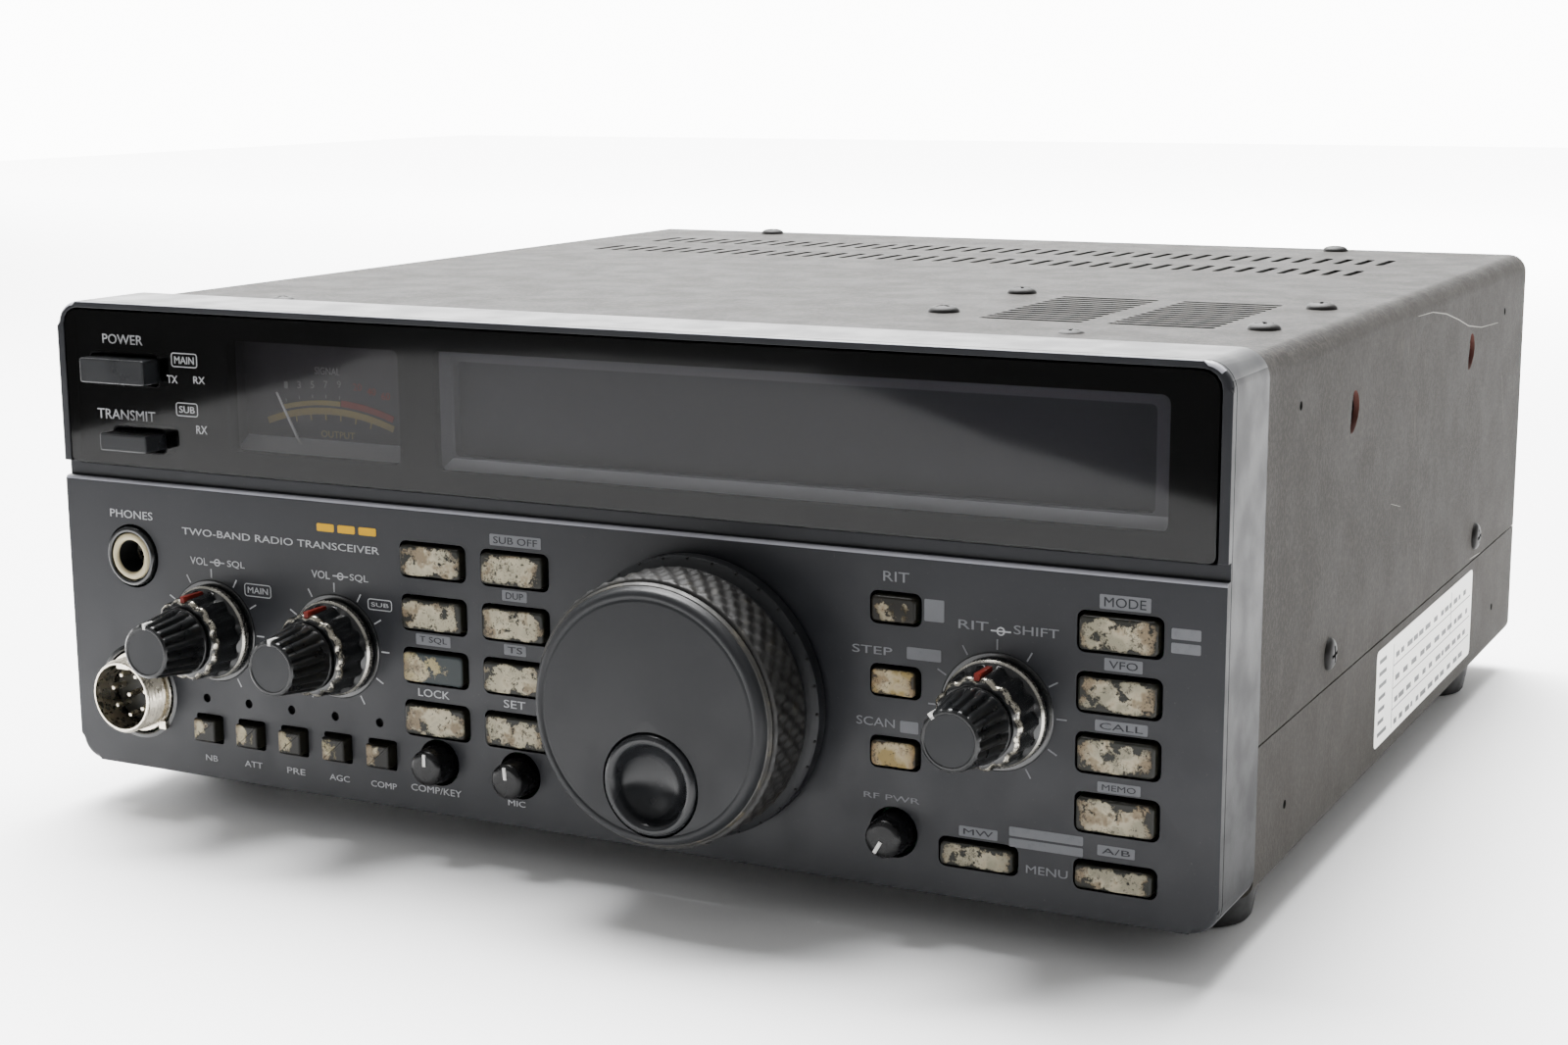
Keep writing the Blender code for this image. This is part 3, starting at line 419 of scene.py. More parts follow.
def prism(bm, outline, near, far, axis="Y", slot=0):
    """Extrude an outline from near to far; its points are the other two coordinates, in X, Y, Z order."""
    def point(first, second, along):
        return {"X": (along, first, second), "Y": (first, along, second), "Z": (first, second, along)}[axis]
    ends = [[bm.verts.new(point(a, b, along)) for a, b in outline] for along in (near, far)]
    faces = [bm.faces.new(ends[0]), bm.faces.new(ends[1][::-1])]
    count = len(outline)
    for index in range(count):
        after = (index + 1) % count
        faces.append(bm.faces.new((ends[0][index], ends[0][after], ends[1][after], ends[1][index])))
    for face in faces:
        face.material_index = slot
    return faces


def link(name, data):
    """Put an object that holds this data into the scene."""
    made = bpy.data.objects.new(name, data)
    bpy.context.scene.collection.objects.link(made)
    return made


QUADRANTS = ((1, 1), (-1, 1), (-1, -1), (1, -1))


def rounded(x, z, wide, high, radius, steps=4):
    """Outline of a rectangle with round corners; radius may give one radius for each corner."""
    radii = radius if isinstance(radius, tuple) else (radius,) * 4
    points = []
    for index, (r, (sx, sz)) in enumerate(zip(radii, QUADRANTS)):
        for step in range(steps + 1):
            angle = RIGHT_ANGLE * (index + step / steps)
            out, up = r * math.cos(angle), r * math.sin(angle)
            points.append((x + sx * (wide / 2 - r) + out, z + sz * (high / 2 - r) + up))
    return points


def cornered(x0, z0, x1, z1, radius, steps=4):
    """Outline of a rectangle with round corners, from its lowest to its highest corner."""
    return rounded((x0 + x1) / 2, (z0 + z1) / 2, x1 - x0, z1 - z0, radius, steps)


def face_outline(low, high, radius, grow=0.0, steps=4):
    """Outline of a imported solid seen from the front, grown all round."""
    wide, tall = high.x - low.x + grow, high.z - low.z + grow
    return rounded((low.x + high.x) / 2, (low.z + high.z) / 2, wide, tall, radius, steps)


def circle(x, z, radius, steps=32, start=0.0):
    angles = [start + 2 * math.pi * k / steps for k in range(steps)]
    return [(x + radius * math.cos(angle), z + radius * math.sin(angle)) for angle in angles]


def corners(reach):
    """The four corners of a square round the middle."""
    return [(dx, dz) for dx in (-reach, reach) for dz in (-reach, reach)]


def turn(bm, profile, at, facing="front", steps=48, slots=0, wave=None, loop=False):
    """Revolve (along, radius) points round an axis through at. wave adds to a radius at an angle.
    slots is one slot, or a list with one for each stretch of the profile."""
    place = Matrix.Translation(at) @ FACING[facing]
    rings = []
    for along, radius in profile:
        ring = []
        for k in range(steps if radius > 1e-6 else 1):
            angle = 2 * math.pi * k / steps
            r = radius + (wave(angle, along, radius) if wave and radius > 1e-6 else 0.0)
            ring.append(bm.verts.new(place @ Vector((r * math.cos(angle), r * math.sin(angle), along))))
        rings.append(ring)
    pairs = list(zip(rings, rings[1:]))
    if loop:
        pairs.append((rings[-1], rings[0]))
    for index, (first, second) in enumerate(pairs):
        for k in range(steps):
            after = (k + 1) % steps
            quad = [first[k % len(first)], first[after % len(first)],
                    second[after % len(second)], second[k % len(second)]]
            face = bm.faces.new(dict.fromkeys(quad))
            face.material_index = slots[index] if isinstance(slots, list) else slots


def disc(bm, near, far, radius, at, facing="front", steps=48, slot=0):
    turn(bm, [(near, 0.0), (near, radius), (far, radius), (far, 0.0)], at, facing, steps, slot)


def absorb(bm, other, place, slot=0):
    """Add another mesh, moved to its place."""
    for face in other.faces:
        face.material_index = slot
    bmesh.ops.transform(other, matrix=place, verts=other.verts)
    mesh = bpy.data.meshes.new("part")
    other.to_mesh(mesh)
    other.free()
    bm.from_mesh(mesh)
    bpy.data.meshes.remove(mesh)


def swing(bm, verts, at, degrees):
    """Turn points made round the origin about the front-to-rear axis, and move them to a place."""
    place = Matrix.Translation(at) @ Matrix.Rotation(math.radians(degrees), 4, "Y")
    bmesh.ops.transform(bm, matrix=place, verts=verts)


def corner_points(faces):
    return list({vert for face in faces for vert in face.verts})


def as_object(bm):
    mesh = bpy.data.meshes.new("working")
    bmesh.ops.recalc_face_normals(bm, faces=bm.faces)
    bm.to_mesh(mesh)
    bm.free()
    return link("working", mesh)


MOST_SLOTS = 8


def cut(bm, cutter):
    """Take one mesh away from another, and return what is left."""
    target = as_object(bm)
    knife = as_object(cutter)
    for mesh in [target.data, knife.data] * MOST_SLOTS:
        mesh.materials.append(None)
    step = target.modifiers.new("cut", "BOOLEAN")
    step.operation = "DIFFERENCE"
    step.solver = "EXACT"
    step.object = knife
    left = bmesh.new()
    left.from_mesh(target.evaluated_get(bpy.context.evaluated_depsgraph_get()).to_mesh())
    for used in (target, knife):
        bpy.data.objects.remove(used)
    return left


def soften(bm, width, sharper_than=50, segments=2, where=None):
    """Round the edges that are sharper than an angle, and that the test where accepts."""
    limit = math.radians(sharper_than)
    edges = [edge for edge in bm.edges if len(edge.link_faces) == 2 and edge.calc_face_angle(0) > limit
             and (where is None or all(where(vert.co) for vert in edge.verts))]
    bmesh.ops.bevel(bm, geom=edges, offset=width, segments=segments, affect="EDGES", profile=0.5,
                    clamp_overlap=True)


def text(bm, words, x0, x1, z0, z1, y, slot=0, facing="front", spin=0.0):
    """Add raised lettering whose capitals fill a box, as (x0, z0) to (x1, z1), on the plane at y."""
    curve = bpy.data.curves.new("letters", "FONT")
    curve.body = words
    curve.align_x = "CENTER"
    curve.align_y = "CENTER"
    curve.resolution_u = 3
    curve.extrude = 0.05
    letters = link("letters", curve)
    bpy.context.view_layer.update()
    mesh = bpy.data.meshes.new_from_object(letters.evaluated_get(bpy.context.evaluated_depsgraph_get()))
    left, low = [min(vert.co[k] for vert in mesh.vertices) for k in (0, 1)]
    right, high = [max(vert.co[k] for vert in mesh.vertices) for k in (0, 1)]
    centred = Matrix.Translation((-(left + right) / 2, -(low + high) / 2, 0))
    scaled = Matrix.Diagonal(((x1 - x0) / (right - left), (z1 - z0) / (high - low), 1.0, 1.0))
    turned = FACING[facing] @ Matrix.Rotation(spin, 4, "Z")
    mesh.transform(Matrix.Translation(((x0 + x1) / 2, y, (z0 + z1) / 2)) @ turned @ scaled @ centred)
    before = len(bm.faces)
    bm.from_mesh(mesh)
    bm.faces.ensure_lookup_table()
    for face in bm.faces[before:]:
        face.material_index = slot
    bpy.data.objects.remove(letters)
    bpy.data.meshes.remove(mesh)


def frame_ring(bm, outer, inner, near, far, slot=0):
    """A flat ring, from near to far along Y, between two outlines with the same number of points."""
    sides = ((outer, near), (inner, near), (inner, far), (outer, far))
    loops = [[bm.verts.new((x, along, z)) for x, z in outline] for outline, along in sides]
    count = len(outer)
    for a, b in zip(loops, loops[1:] + loops[:1]):
        for k in range(count):
            after = (k + 1) % count
            bm.faces.new((a[k], a[after], b[after], b[k])).material_index = slot


def pan_screw(bm, at, facing, radius=3.1, spin=0.4, slot=0):
    """Pan-head screw with a cross recess, its head standing on the surface."""
    head = bmesh.new()
    high = radius * 0.42
    profile = [(-0.6, 0.0), (-0.6, radius * 0.6), (0.0, radius * 0.6), (0.0, radius)]
    profile += [(high * math.sin(a), radius * math.cos(a) ** 0.6) for a in (0.3, 0.6, 0.9, 1.2, 1.4)]
    turn(head, profile + [(high, 0.0)], (0, 0, 0), "up", 20)
    arm, half = radius * 0.55, radius * 0.11
    star = []
    for x, z in QUADRANTS:
        points = [(x * arm, z * half), (x * half, z * half), (x * half, z * arm)]
        star += points if x == z else points[::-1]
    cross = bmesh.new()
    prism(cross, star, high * 0.35, high + 1, "Z")
    head = cut(head, cross)
    absorb(bm, head, Matrix.Translation(at) @ FACING[facing] @ Matrix.Rotation(spin, 4, "Z"), slot)


# ---------------------------------------------------------------- front panel and window
PANEL_LOW, PANEL_HIGH = span("front_panel")
WINDOW_LOW, WINDOW_HIGH = span("display_window")
METER = (-80.3, 74.4, -40.0, 96.1)
DISPLAY = (-32.0, 74.0, 109.5, 96.4)
GROOVE = (67.4, 70.0)
GROOVE_ROUND = 0.9
PANE_CORNERS = (3.0, 3.0, 1.2, 1.2)
KEYS = [f"left_key_{c}{r}" for c in "ab" for r in range(1, 5)] + [f"right_key_{r}" for r in range(1, 6)]
KEYS += ["memory_key", "rit_key", "step_key", "scan_key"]
SMALL_KEYS = ["nb_button", "att_button", "preamp_button", "agc_button", "comp_button"]
BUTTONS = ["power_button", "transmit_button"]
LEVEL_KNOBS = ["comp_knob", "mic_gain_knob", "rf_power_knob"]
RINGS = ["main_squelch_ring", "sub_squelch_ring", "shift_ring"]
KNOBS = ["main_volume_knob", "sub_volume_knob", "rit_knob"]


def key_outline(node, grow, radius):
    """Outline of a key's cap, which is smaller than its solid by the lip that keeps it in."""
    return face_outline(*span(node), radius, 2 * grow - 2 * LIP)


def button_holes(knife, near, far, slot=0):
    for name in BUTTONS:
        prism(knife, key_outline(name, BUTTON_GAP, 1.2), FRONT + near, FRONT + far, slot=slot)


def round_front(bm, y, width, segments):
    """Round the edges that lie in the plane at y."""
    rim = [edge for edge in bm.edges if all(abs(vert.co.y - y) < 0.01 for vert in edge.verts)]
    bmesh.ops.bevel(bm, geom=rim, offset=width, segments=segments, affect="EDGES", profile=0.5)


def front_moulding():
    low, high = PANEL_LOW, PANEL_HIGH
    bm = bmesh.new()
    prism(bm, face_outline(low, high, 5.0, 0.0, 8), low.y, high.y)
    round_front(bm, low.y, 1.1, 4)
    bottom, top = GROOVE
    for depth, far, upto in ((5.5, high.y + 5, high.z - ROOF_WALL), (2.8, FRONT + 6.5, bottom - 1.4)):
        hollow = bmesh.new()
        solid(hollow, (low.x + WALL, FRONT + depth, low.z + ROOF_WALL), (high.x - WALL, far, upto))
        bm = cut(bm, hollow)
    # painted shade: the window step's walls are near-black
    step = bmesh.new()
    window = face_outline(WINDOW_LOW, WINDOW_HIGH, (3.4, 3.4, 1.2, 1.2), 2 * CLEARANCE)
    prism(step, window, FRONT - 5, FRONT + 3.2, slot=1)
    bm = cut(bm, step)
    groove = bmesh.new()
    arc = [(GROOVE_ROUND * math.cos(a), GROOVE_ROUND * math.sin(a)) for a in
           (RIGHT_ANGLE * k / 6 for k in range(7))]
    notch = [(FRONT - 3, bottom - GROOVE_ROUND)]
    notch += [(FRONT + GROOVE_ROUND - out, bottom - GROOVE_ROUND + up) for out, up in arc]
    notch += [(FRONT + 1.6, bottom), (FRONT + 1.6, top + 0.4), (FRONT - 3, top + 0.4)]
    prism(groove, notch, low.x - 5, high.x + 5, "X")
    bm = cut(bm, groove)
    soften(bm, 0.35, 50, 3, lambda co: co.y < FRONT + 1.8 and abs(co.z - bottom) > 1.0)
    # painted shade: the walls of the wells and bores are near-black
    knife = bmesh.new()
    def well(outline, depth=4.0, start=-5.0):
        prism(knife, outline, FRONT + start, FRONT + depth, slot=1)
    button_holes(knife, -5, 7, 1)
    for opening in (METER, DISPLAY):
        well(cornered(*opening, 1.0), 7, 2)
    for name in KEYS:
        well(key_outline(name, KEY_GAP, 1.3))
    for name in SMALL_KEYS:
        well(key_outline(name, KEY_GAP, 0.5))
        well(circle(middle(name).x - 0.5, 24.8, 0.85, 16), 0.9)
    bores = [("phones_jack", 6.4, 40), ("mic_connector", 9.2, 40), ("main_dial", 4.0, 40)]
    bores += [(name, 3.9, 32) for name in RINGS] + [(name, 4.5, 32) for name in LEVEL_KNOBS]
    for name, radius, steps in bores:
        spot = middle(name)
        well(circle(spot.x, spot.z, radius, steps))
    bm = cut(bm, knife)
    soften(bm, 0.25, 60, 2, lambda co: abs(co.y - FRONT) < 0.01 and co.z < bottom - 1)
    # painted shade: the fine line round the front is cut with near-black walls
    line = bmesh.new()
    outer = face_outline(low, high, 9.0, 9.0, 8)
    frame_ring(line, outer, face_outline(low, high, 4.75, -0.5, 8), low.y + 1.9, low.y + 2.15, 1)
    bm = cut(bm, line)
    bm.normal_update()
    for face in bm.faces:
        spot = face.calc_center_median()
        # up-turned faces along the groove's lower edge and the top edge take the light grey finish: a painted
        # highlight
        turned = -0.97 < face.normal.y < -0.15 and face.normal.z > abs(face.normal.x)
        if turned and spot.y < FRONT + 1.2 and (abs(spot.z - bottom) < 1.0 or spot.z > high.z - 2):
            face.material_index = 2
        # the side faces take the darker copy of the panel plastic: painted shade
        if abs(face.normal.x) > 0.75 and abs(spot.x) > high.x - 0.3:
            face.material_index = 3
    finishes = [PANEL, BLACK_FILM_AND_SHADE, MOULDING_EDGE_HIGHLIGHT, PANEL_SIDE_SHADE]
    piece("front_moulding", bm, finishes, replaces=["front_panel"])


def window_pane():
    low, high = WINDOW_LOW, WINDOW_HIGH
    bm = bmesh.new()
    prism(bm, face_outline(low, high, PANE_CORNERS), low.y, high.y)
    soften(bm, 0.7, 50, 4, lambda co: co.y < low.y + 0.1)
    knife = bmesh.new()
    button_holes(knife, -5, 5)
    bm = cut(bm, knife)
    bm.normal_update()
    # the upward-turned faces of the top bevel take the near-white finish: a painted highlight
    for face in bm.faces:
        if face.normal.y < -0.05 and face.normal.z > 0.3 and face.calc_center_median().z > high.z - 1:
            face.material_index = 1
    piece("window_pane", bm, [GLASS, PANE_HIGHLIGHT], replaces=["display_window"])


def button_well_shade():
    """Black sleeves in the wells that the two buttons in the window work in: painted shade in these recesses.
    """
    bm = bmesh.new()
    for name in BUTTONS:
        outer, inner = key_outline(name, 0.88, 1.2), key_outline(name, 0.6, 1.0)
        frame_ring(bm, outer, inner, FRONT + 0.05, FRONT + 3.4)
    piece("button_well_shade", bm, [BLACK_FILM_AND_SHADE])


def window_mask():
    """Black film behind the pane, open over the meter and the display."""
    low, high = WINDOW_LOW, WINDOW_HIGH
    bm = bmesh.new()
    prism(bm, face_outline(low, high, PANE_CORNERS), high.y + 0.06, high.y + 0.2)
    knife = bmesh.new()
    for opening in (METER, DISPLAY):
        prism(knife, cornered(*opening, 1.5), FRONT, FRONT + 7)
    button_holes(knife, 0, 7)
    piece("window_mask", cut(bm, knife), [BLACK_FILM_AND_SHADE])


# ---------------------------------------------------------------- keys
def key_cap(node, finish, radius=0.9, edge=0.5, skirt=None):
    low, high = span(node)
    bm = bmesh.new()
    prism(bm, key_outline(node, 0.0, radius), low.y, high.y - 1.0)
    round_front(bm, low.y, edge, 3)
    bmesh.ops.recalc_face_normals(bm, faces=bm.faces)
    for face in bm.faces:
        face.material_index = 0 if face.normal.y < -0.5 else 1
    piece(node + "_cap", bm, [finish, skirt], body=node, replaces=[node])


def keys():
    special = {"left_key_a3": KEY_DARK, "rit_key": KEY_OLIVE, "step_key": KEY_TAN, "scan_key": KEY_TAN}
    for name in KEYS:
        key_cap(name, special.get(name, KEY_RIGHT if middle(name).x > 60 else KEY_CREAM), skirt=KEY_SKIRT)
    for name in SMALL_KEYS:
        key_cap(name, KEY_SMALL, 0.35, 0.45, skirt=KEY_SKIRT)
    for name in BUTTONS:
        key_cap(name, BUTTON, 0.5, 0.35, BUTTON)


# ---------------------------------------------------------------- knobs
FLUTES = 18
RING_FLUTES = 14


def knob_piece(node, bm, finishes):
    piece(node + "_turned", bm, finishes, body=node, replaces=[node])


def squelch_ring(node):
    """Glossy ring with broad flutes, its front edge and its flange worn to bright metal."""
    def wave(angle, along, radius):
        if radius < 7 or along < 2.5:
            return 0.0
        return -0.5 * (0.5 - 0.5 * math.cos(RING_FLUTES * angle)) ** 2
    profile = [(9.2, 2.4), (9.2, 6.6), (9.05, 7.4), (8.6, 7.9), (8.1, 8.1), (5.5, 8.25), (2.8, 8.4),
               (2.4, 8.7), (2.3, 8.9), (1.9, 9.25), (1.1, 9.3), (0.6, 9.1), (0.6, 3.4), (-11.5, 3.4),
               (-11.5, 2.4)]
    slots = [0, 0, 1, 1, 0, 0, 0, 0, 2, 2, 0, 0, 0, 0, 0]
    bm = bmesh.new()
    turn(bm, profile, on_front(node), steps=RING_FLUTES * 8, slots=slots, wave=wave, loop=True)
    solid(bm, on_front(node, -0.45, -8.9, 7.4), on_front(node, 0.45, -3.2, 8.55), 3)
    knob_piece(node, bm, [GLOSS_BLACK, CHROME_WORN, CHROME, POINTER_RED])


def volume_knob(node, pointer=0.0):
    """Fluted knob with a flat grey face; pointer is its mark's angle from the top, in degrees."""
    def wave(angle, along, radius):
        if along < 10.3 or along > 19.6 or radius < 5:
            return 0.0
        depth = 0.6 * min(1.0, (along - 10.2) / 1.5)
        return -depth * (0.5 + 0.5 * math.cos(FLUTES * angle)) ** 2.2
    profile = [(19.85, 0.0), (19.85, 4.35), (20.0, 4.5), (20.0, 4.75), (19.7, 5.15), (19.2, 5.35), (15.5, 5.8),
               (12.0, 6.25), (10.4, 6.45), (10.3, 6.6), (9.9, 6.6), (9.6, 6.3), (9.6, 2.0), (-14.5, 2.0),
               (-14.5, 0.0)]
    bm = bmesh.new()
    turn(bm, profile, on_front(node), steps=FLUTES * 12, slots=[1] + [0] * (len(profile) - 2), wave=wave)
    mark = solid(bm, (-0.32, -20.0, 4.4), (0.32, -17.4, 5.55), 2)
    swing(bm, mark, on_front(node), pointer)
    knob_piece(node, bm, [KNOB_BLACK, KNOB_FACE, POINTER_WHITE])


def level_knob(node, pointer=0.0):
    profile = [(4.75, 0.0), (4.8, 2.2), (4.7, 2.9), (4.35, 3.3), (3.8, 3.45), (1.0, 3.7), (0.2, 3.8),
               (-2.0, 3.8), (-2.0, 1.6), (-13.0, 1.6), (-13.0, 0.0)]
    bm = bmesh.new()
    turn(bm, profile, on_front(node), steps=40)
    mark = solid(bm, (-0.32, -4.98, 0.5), (0.32, -4.4, 2.8), 1)
    swing(bm, mark, on_front(node), pointer)
    knob_piece(node, bm, [LEVEL_BLACK, POINTER_WHITE])


def gap_shade_rings():
    """Dark rings on the panel round the concentric controls and the microphone socket: painted shade of the
    gap round each.
    """
    bm = bmesh.new()
    under_ring = [(0.35, 9.0), (0.35, 10.0), (0.2, 10.2), (-0.2, 10.2), (-0.2, 9.0)]
    under_shell = [(0.1, 8.7), (0.25, 9.0), (0.1, 9.7), (-0.2, 9.7), (-0.2, 8.7)]
    for node in RINGS + ["mic_connector"]:
        turn(bm, under_ring if node in RINGS else under_shell, on_front(node), steps=56, loop=True)
    piece("knob_gap_shade_rings", bm, [GLOSS_BLACK])


# ---------------------------------------------------------------- tuning dial
GRIP_ROWS = 5
GRIP_BUMPS = 88
DOTS = 32
DOT_RADIUS = 25.05


def tuning_dial():
    profile = [(19.1, 0.0), (19.1, 20.2), (18.95, 20.45), (18.95, 20.75), (19.15, 21.0), (19.2, 21.5),
               (19.0, 22.0), (18.5, 22.4), (17.9, 22.6), (17.6, 22.75), (17.5, 22.95), (17.2, 23.1),
               (16.9, 23.3), (16.6, 23.2), (16.4, 22.6), (5.3, 22.6), (5.2, 23.3), (4.3, 23.35), (4.1, 23.9),
               (3.9, 24.9), (3.5, 25.35), (1.1, 25.4), (0.8, 25.2), (0.8, 3.0), (-17.0, 3.0), (-17.0, 0.0)]
    bm = bmesh.new()
    turn(bm, profile, on_front("main_dial"), steps=160, slots=[0] * 9 + [1] * 5 + [0] * 12)
    knife = bmesh.new()
    hollow = [(22.0, 0.0), (22.0, 9.4), (13.2, 9.4), (13.2, 1.9), (8.7, 1.9), (8.7, 0.0)]
    turn(knife, hollow, on_front("finger_cup"), steps=56)
    bm = cut(bm, knife)
    soften(bm, 0.35, 60, 3, lambda co: co.y < FRONT - 18.9)
    for x, z in circle(0.0, 0.0, DOT_RADIUS, DOTS):
        dot = on_front("main_dial", x, -3.2, z)
        turn(bm, [(0.75, 0.0), (0.75, 0.2), (0.6, 0.3), (0.0, 0.3), (0.0, 0.0)], dot, steps=8, slots=2)
    finishes = [DIAL_FACE, DIAL_EDGE, HOLE]
    piece("tuning_dial", bm, finishes, body="main_dial", replaces=["main_dial"])


def grip_band():
    """Knurled rubber round the dial: rows of small lozenges that stand out and in by turns."""
    first, last, levels = 16.2, 5.5, 44
    def wave(angle, along, radius):
        if radius < 23.5:
            return 0.0
        row = (along - last) / (first - last) * GRIP_ROWS * math.pi
        edge = min(1.0, (along - last) / 1.0, (first - along) / 1.0)
        return 0.3 * max(0.0, edge) * math.sin(row) * math.cos(GRIP_BUMPS / 2 * angle)
    band = [(first, 22.8), (first, 23.5)]
    band += [(first + (last - first) * k / levels, 23.85) for k in range(1, levels)]
    band += [(last, 23.5), (last, 22.8)]
    bm = bmesh.new()
    turn(bm, band, on_front("main_dial"), steps=GRIP_BUMPS * 6, wave=wave, loop=True)
    piece("dial_grip_band", bm, [GRIP], body="main_dial", smooth=60)


def finger_dish():
    face = -span("finger_cup")[0].y + FRONT - 0.6
    dish = [(face - 4.3 * math.cos(a), 6.9 * math.sin(a)) for a in (RIGHT_ANGLE * k / 12 for k in range(12))]
    rim = [(face + 0.2, 7.2), (face + 0.5, 7.6), (face + 0.6, 8.1), (face + 0.5, 8.6), (face + 0.1, 9.0),
           (face - 0.6, 9.1), (face - 5.6, 9.1), (face - 5.6, 1.5), (face - 10.0, 1.5), (face - 10.0, 0.0)]
    bm = bmesh.new()
    turn(bm, dish + rim, on_front("finger_cup"), steps=72)
    piece("finger_dish", bm, [DISH], body="finger_cup", replaces=["finger_cup"], smooth=50)


# ---------------------------------------------------------------- sockets on the front
PINS = 7


def phones_socket():
    place = on_front("phones_jack")
    bm = bmesh.new()
    bush = [(-17.0, 0.0), (-17.0, 3.25), (0.3, 3.25), (0.7, 3.5), (0.85, 3.9), (0.7, 4.5), (0.3, 4.75),
            (-0.5, 4.8), (-18.5, 4.8), (-18.5, 0.0)]
    # painted shade: the bore's bottom and wall are near-black
    turn(bm, bush, place, steps=56, slots=[3, 3] + [0] * 7)
    ring = [(0.2, 4.85), (0.75, 5.0), (0.9, 5.4), (0.75, 5.8), (0.3, 6.05), (-1.0, 6.1), (-8.0, 6.1),
            (-8.0, 4.85)]
    turn(bm, ring, place, steps=56, slots=1, loop=True)
    contact = [(-5.0, 3.26), (-5.0, 2.5), (-5.6, 2.4), (-6.0, 2.5), (-6.0, 3.26)]
    turn(bm, contact, place, steps=32, slots=2, loop=True)
    finishes = [CREAM, GLOSS_BLACK, NICKEL, HOLE]
    piece("phones_socket", bm, finishes, replaces=["phones_jack"], smooth=45)


def mic_shell():
    """Threaded shell with its flange and keyway."""
    node = "mic_connector"
    levels = 54
    shell = [(5.6, 6.6), (5.6, 6.9), (5.35, 7.15)]
    shell += [(5.1 - 4.3 * k / levels, 7.3) for k in range(levels + 1)]
    shell += [(0.7, 7.1), (0.5, 7.1), (0.5, 8.1), (0.2, 8.3), (-1.4, 8.3), (-1.4, 7.4), (-5.8, 7.4)]
    shell.append((-5.8, 6.6))
    bm = bmesh.new()
    wave = thread(0.95, 0.4, 0.6, lambda radius, along: 7.2 <= radius <= 7.4)
    turn(bm, shell, on_front(node), steps=64, wave=wave, loop=True)
    solid(bm, on_front(node, -1.6, -4.6, 5.5), on_front(node, 1.6, 0.2, 6.75))
    solid(bm, on_front(node, 5.4, -0.9, -7.0), on_front(node, 7.0, 0.6, -5.4))
    piece("mic_shell", bm, [NICKEL], replaces=[node], smooth=28)


def mic_pins():
    """Insert with one pin in the middle and a ring of pins round it."""
    bm = bmesh.new()
    insert = [(-0.4, 0.0), (-0.4, 5.9), (-0.7, 6.3), (-5.6, 6.3), (-5.6, 0.0)]
    turn(bm, insert, on_front("mic_connector"))
    pin = [(3.3, 0.0), (3.2, 0.4), (2.8, 0.6), (-1.0, 0.6), (-1.0, 0.0)]
    for x, z in [(0.0, 0.0)] + circle(0.0, 0.0, 4.2, PINS, -RIGHT_ANGLE):
        turn(bm, pin, on_front("mic_connector", x, 0.0, z), steps=16, slots=1)
    piece("mic_pins", bm, [INSERT, NICKEL], replaces=["mic_insert"])


# ---------------------------------------------------------------- meter and display
SCALE_Y = -109.6
SCALE_CENTRE = (-61.2, 38.7)
NEEDLE_PIVOT = (-60.5, 62.5)
NEEDLE_LEAN = -28.2


def scale_arc(bm, inner, outer, left, right, slot, steps=20):
    """Band of the meter's scale between two radii, from left to right, on its dark card."""
    x, z = SCALE_CENTRE
    angles = [math.asin((left + (right - left) * k / steps - x) / inner) for k in range(steps + 1)]
    outline = [(x + outer * math.sin(a), z + outer * math.cos(a)) for a in angles]
    outline += [(x + inner * math.sin(a), z + inner * math.cos(a)) for a in reversed(angles)]
    prism(bm, outline, SCALE_Y - 0.32, SCALE_Y - 0.2, slot=slot)


def meter_scale():
    x0, z0, x1, z1 = METER
    bm = bmesh.new()
    solid(bm, (x0 - 1.0, SCALE_Y - 0.25, z0 - 0.2), (x1 + 1.0, SCALE_Y - 0.05, z1 + 0.6))
    scale_arc(bm, 43.2, 44.5, -76.0, -46.5, 1)
    scale_arc(bm, 44.95, 45.9, -72.2, -58.7, 1)
    scale_arc(bm, 44.95, 46.2, -58.5, -46.5, 2)
    for k in range(6):
        x = -69.2 + 3.5 * k
        scale_arc(bm, 42.1, 43.3, x - 0.15, x + 0.15, 1, 1)
    legends = [("SIGNAL", -64.5, -58.5, 89.6, 91.0, 3), ("OUTPUT", -63.5, -55.5, 77.4, 78.7, 1)]
    for k, number in enumerate("13579"):
        x = -71.6 + 3.2 * k
        scale_arc(bm, 46.3, 47.0, x - 0.1, x + 0.1, 3, 1)
        legends.append((number, x - 0.45, x + 0.45, 86.4 + 0.2 * k, 87.8 + 0.2 * k, 3))
    for k, number in enumerate(("20", "40", "60")):
        x = -54.5 + 3.3 * k
        legends.append((number, x - 1.0, x + 1.0, 86.9 - 0.7 * k, 88.3 - 0.7 * k, 2))
    for words, left, right, low, high, slot in legends:
        text(bm, words, left, right, low, high, SCALE_Y - 0.25, slot)
    ledge = [(-113.4, z0 - 0.6), (-113.4, z0 - 0.1), (SCALE_Y - 0.2, z0 + 2.5), (SCALE_Y - 0.2, z0 - 0.6)]
    prism(bm, ledge, x0 - 1.0, x1 + 1.0, "X", 4)
    finishes = [METER_DARK, SCALE_YELLOW, SCALE_RED, SCALE_GREY, METER_FRAME]
    piece("meter_scale", bm, finishes)


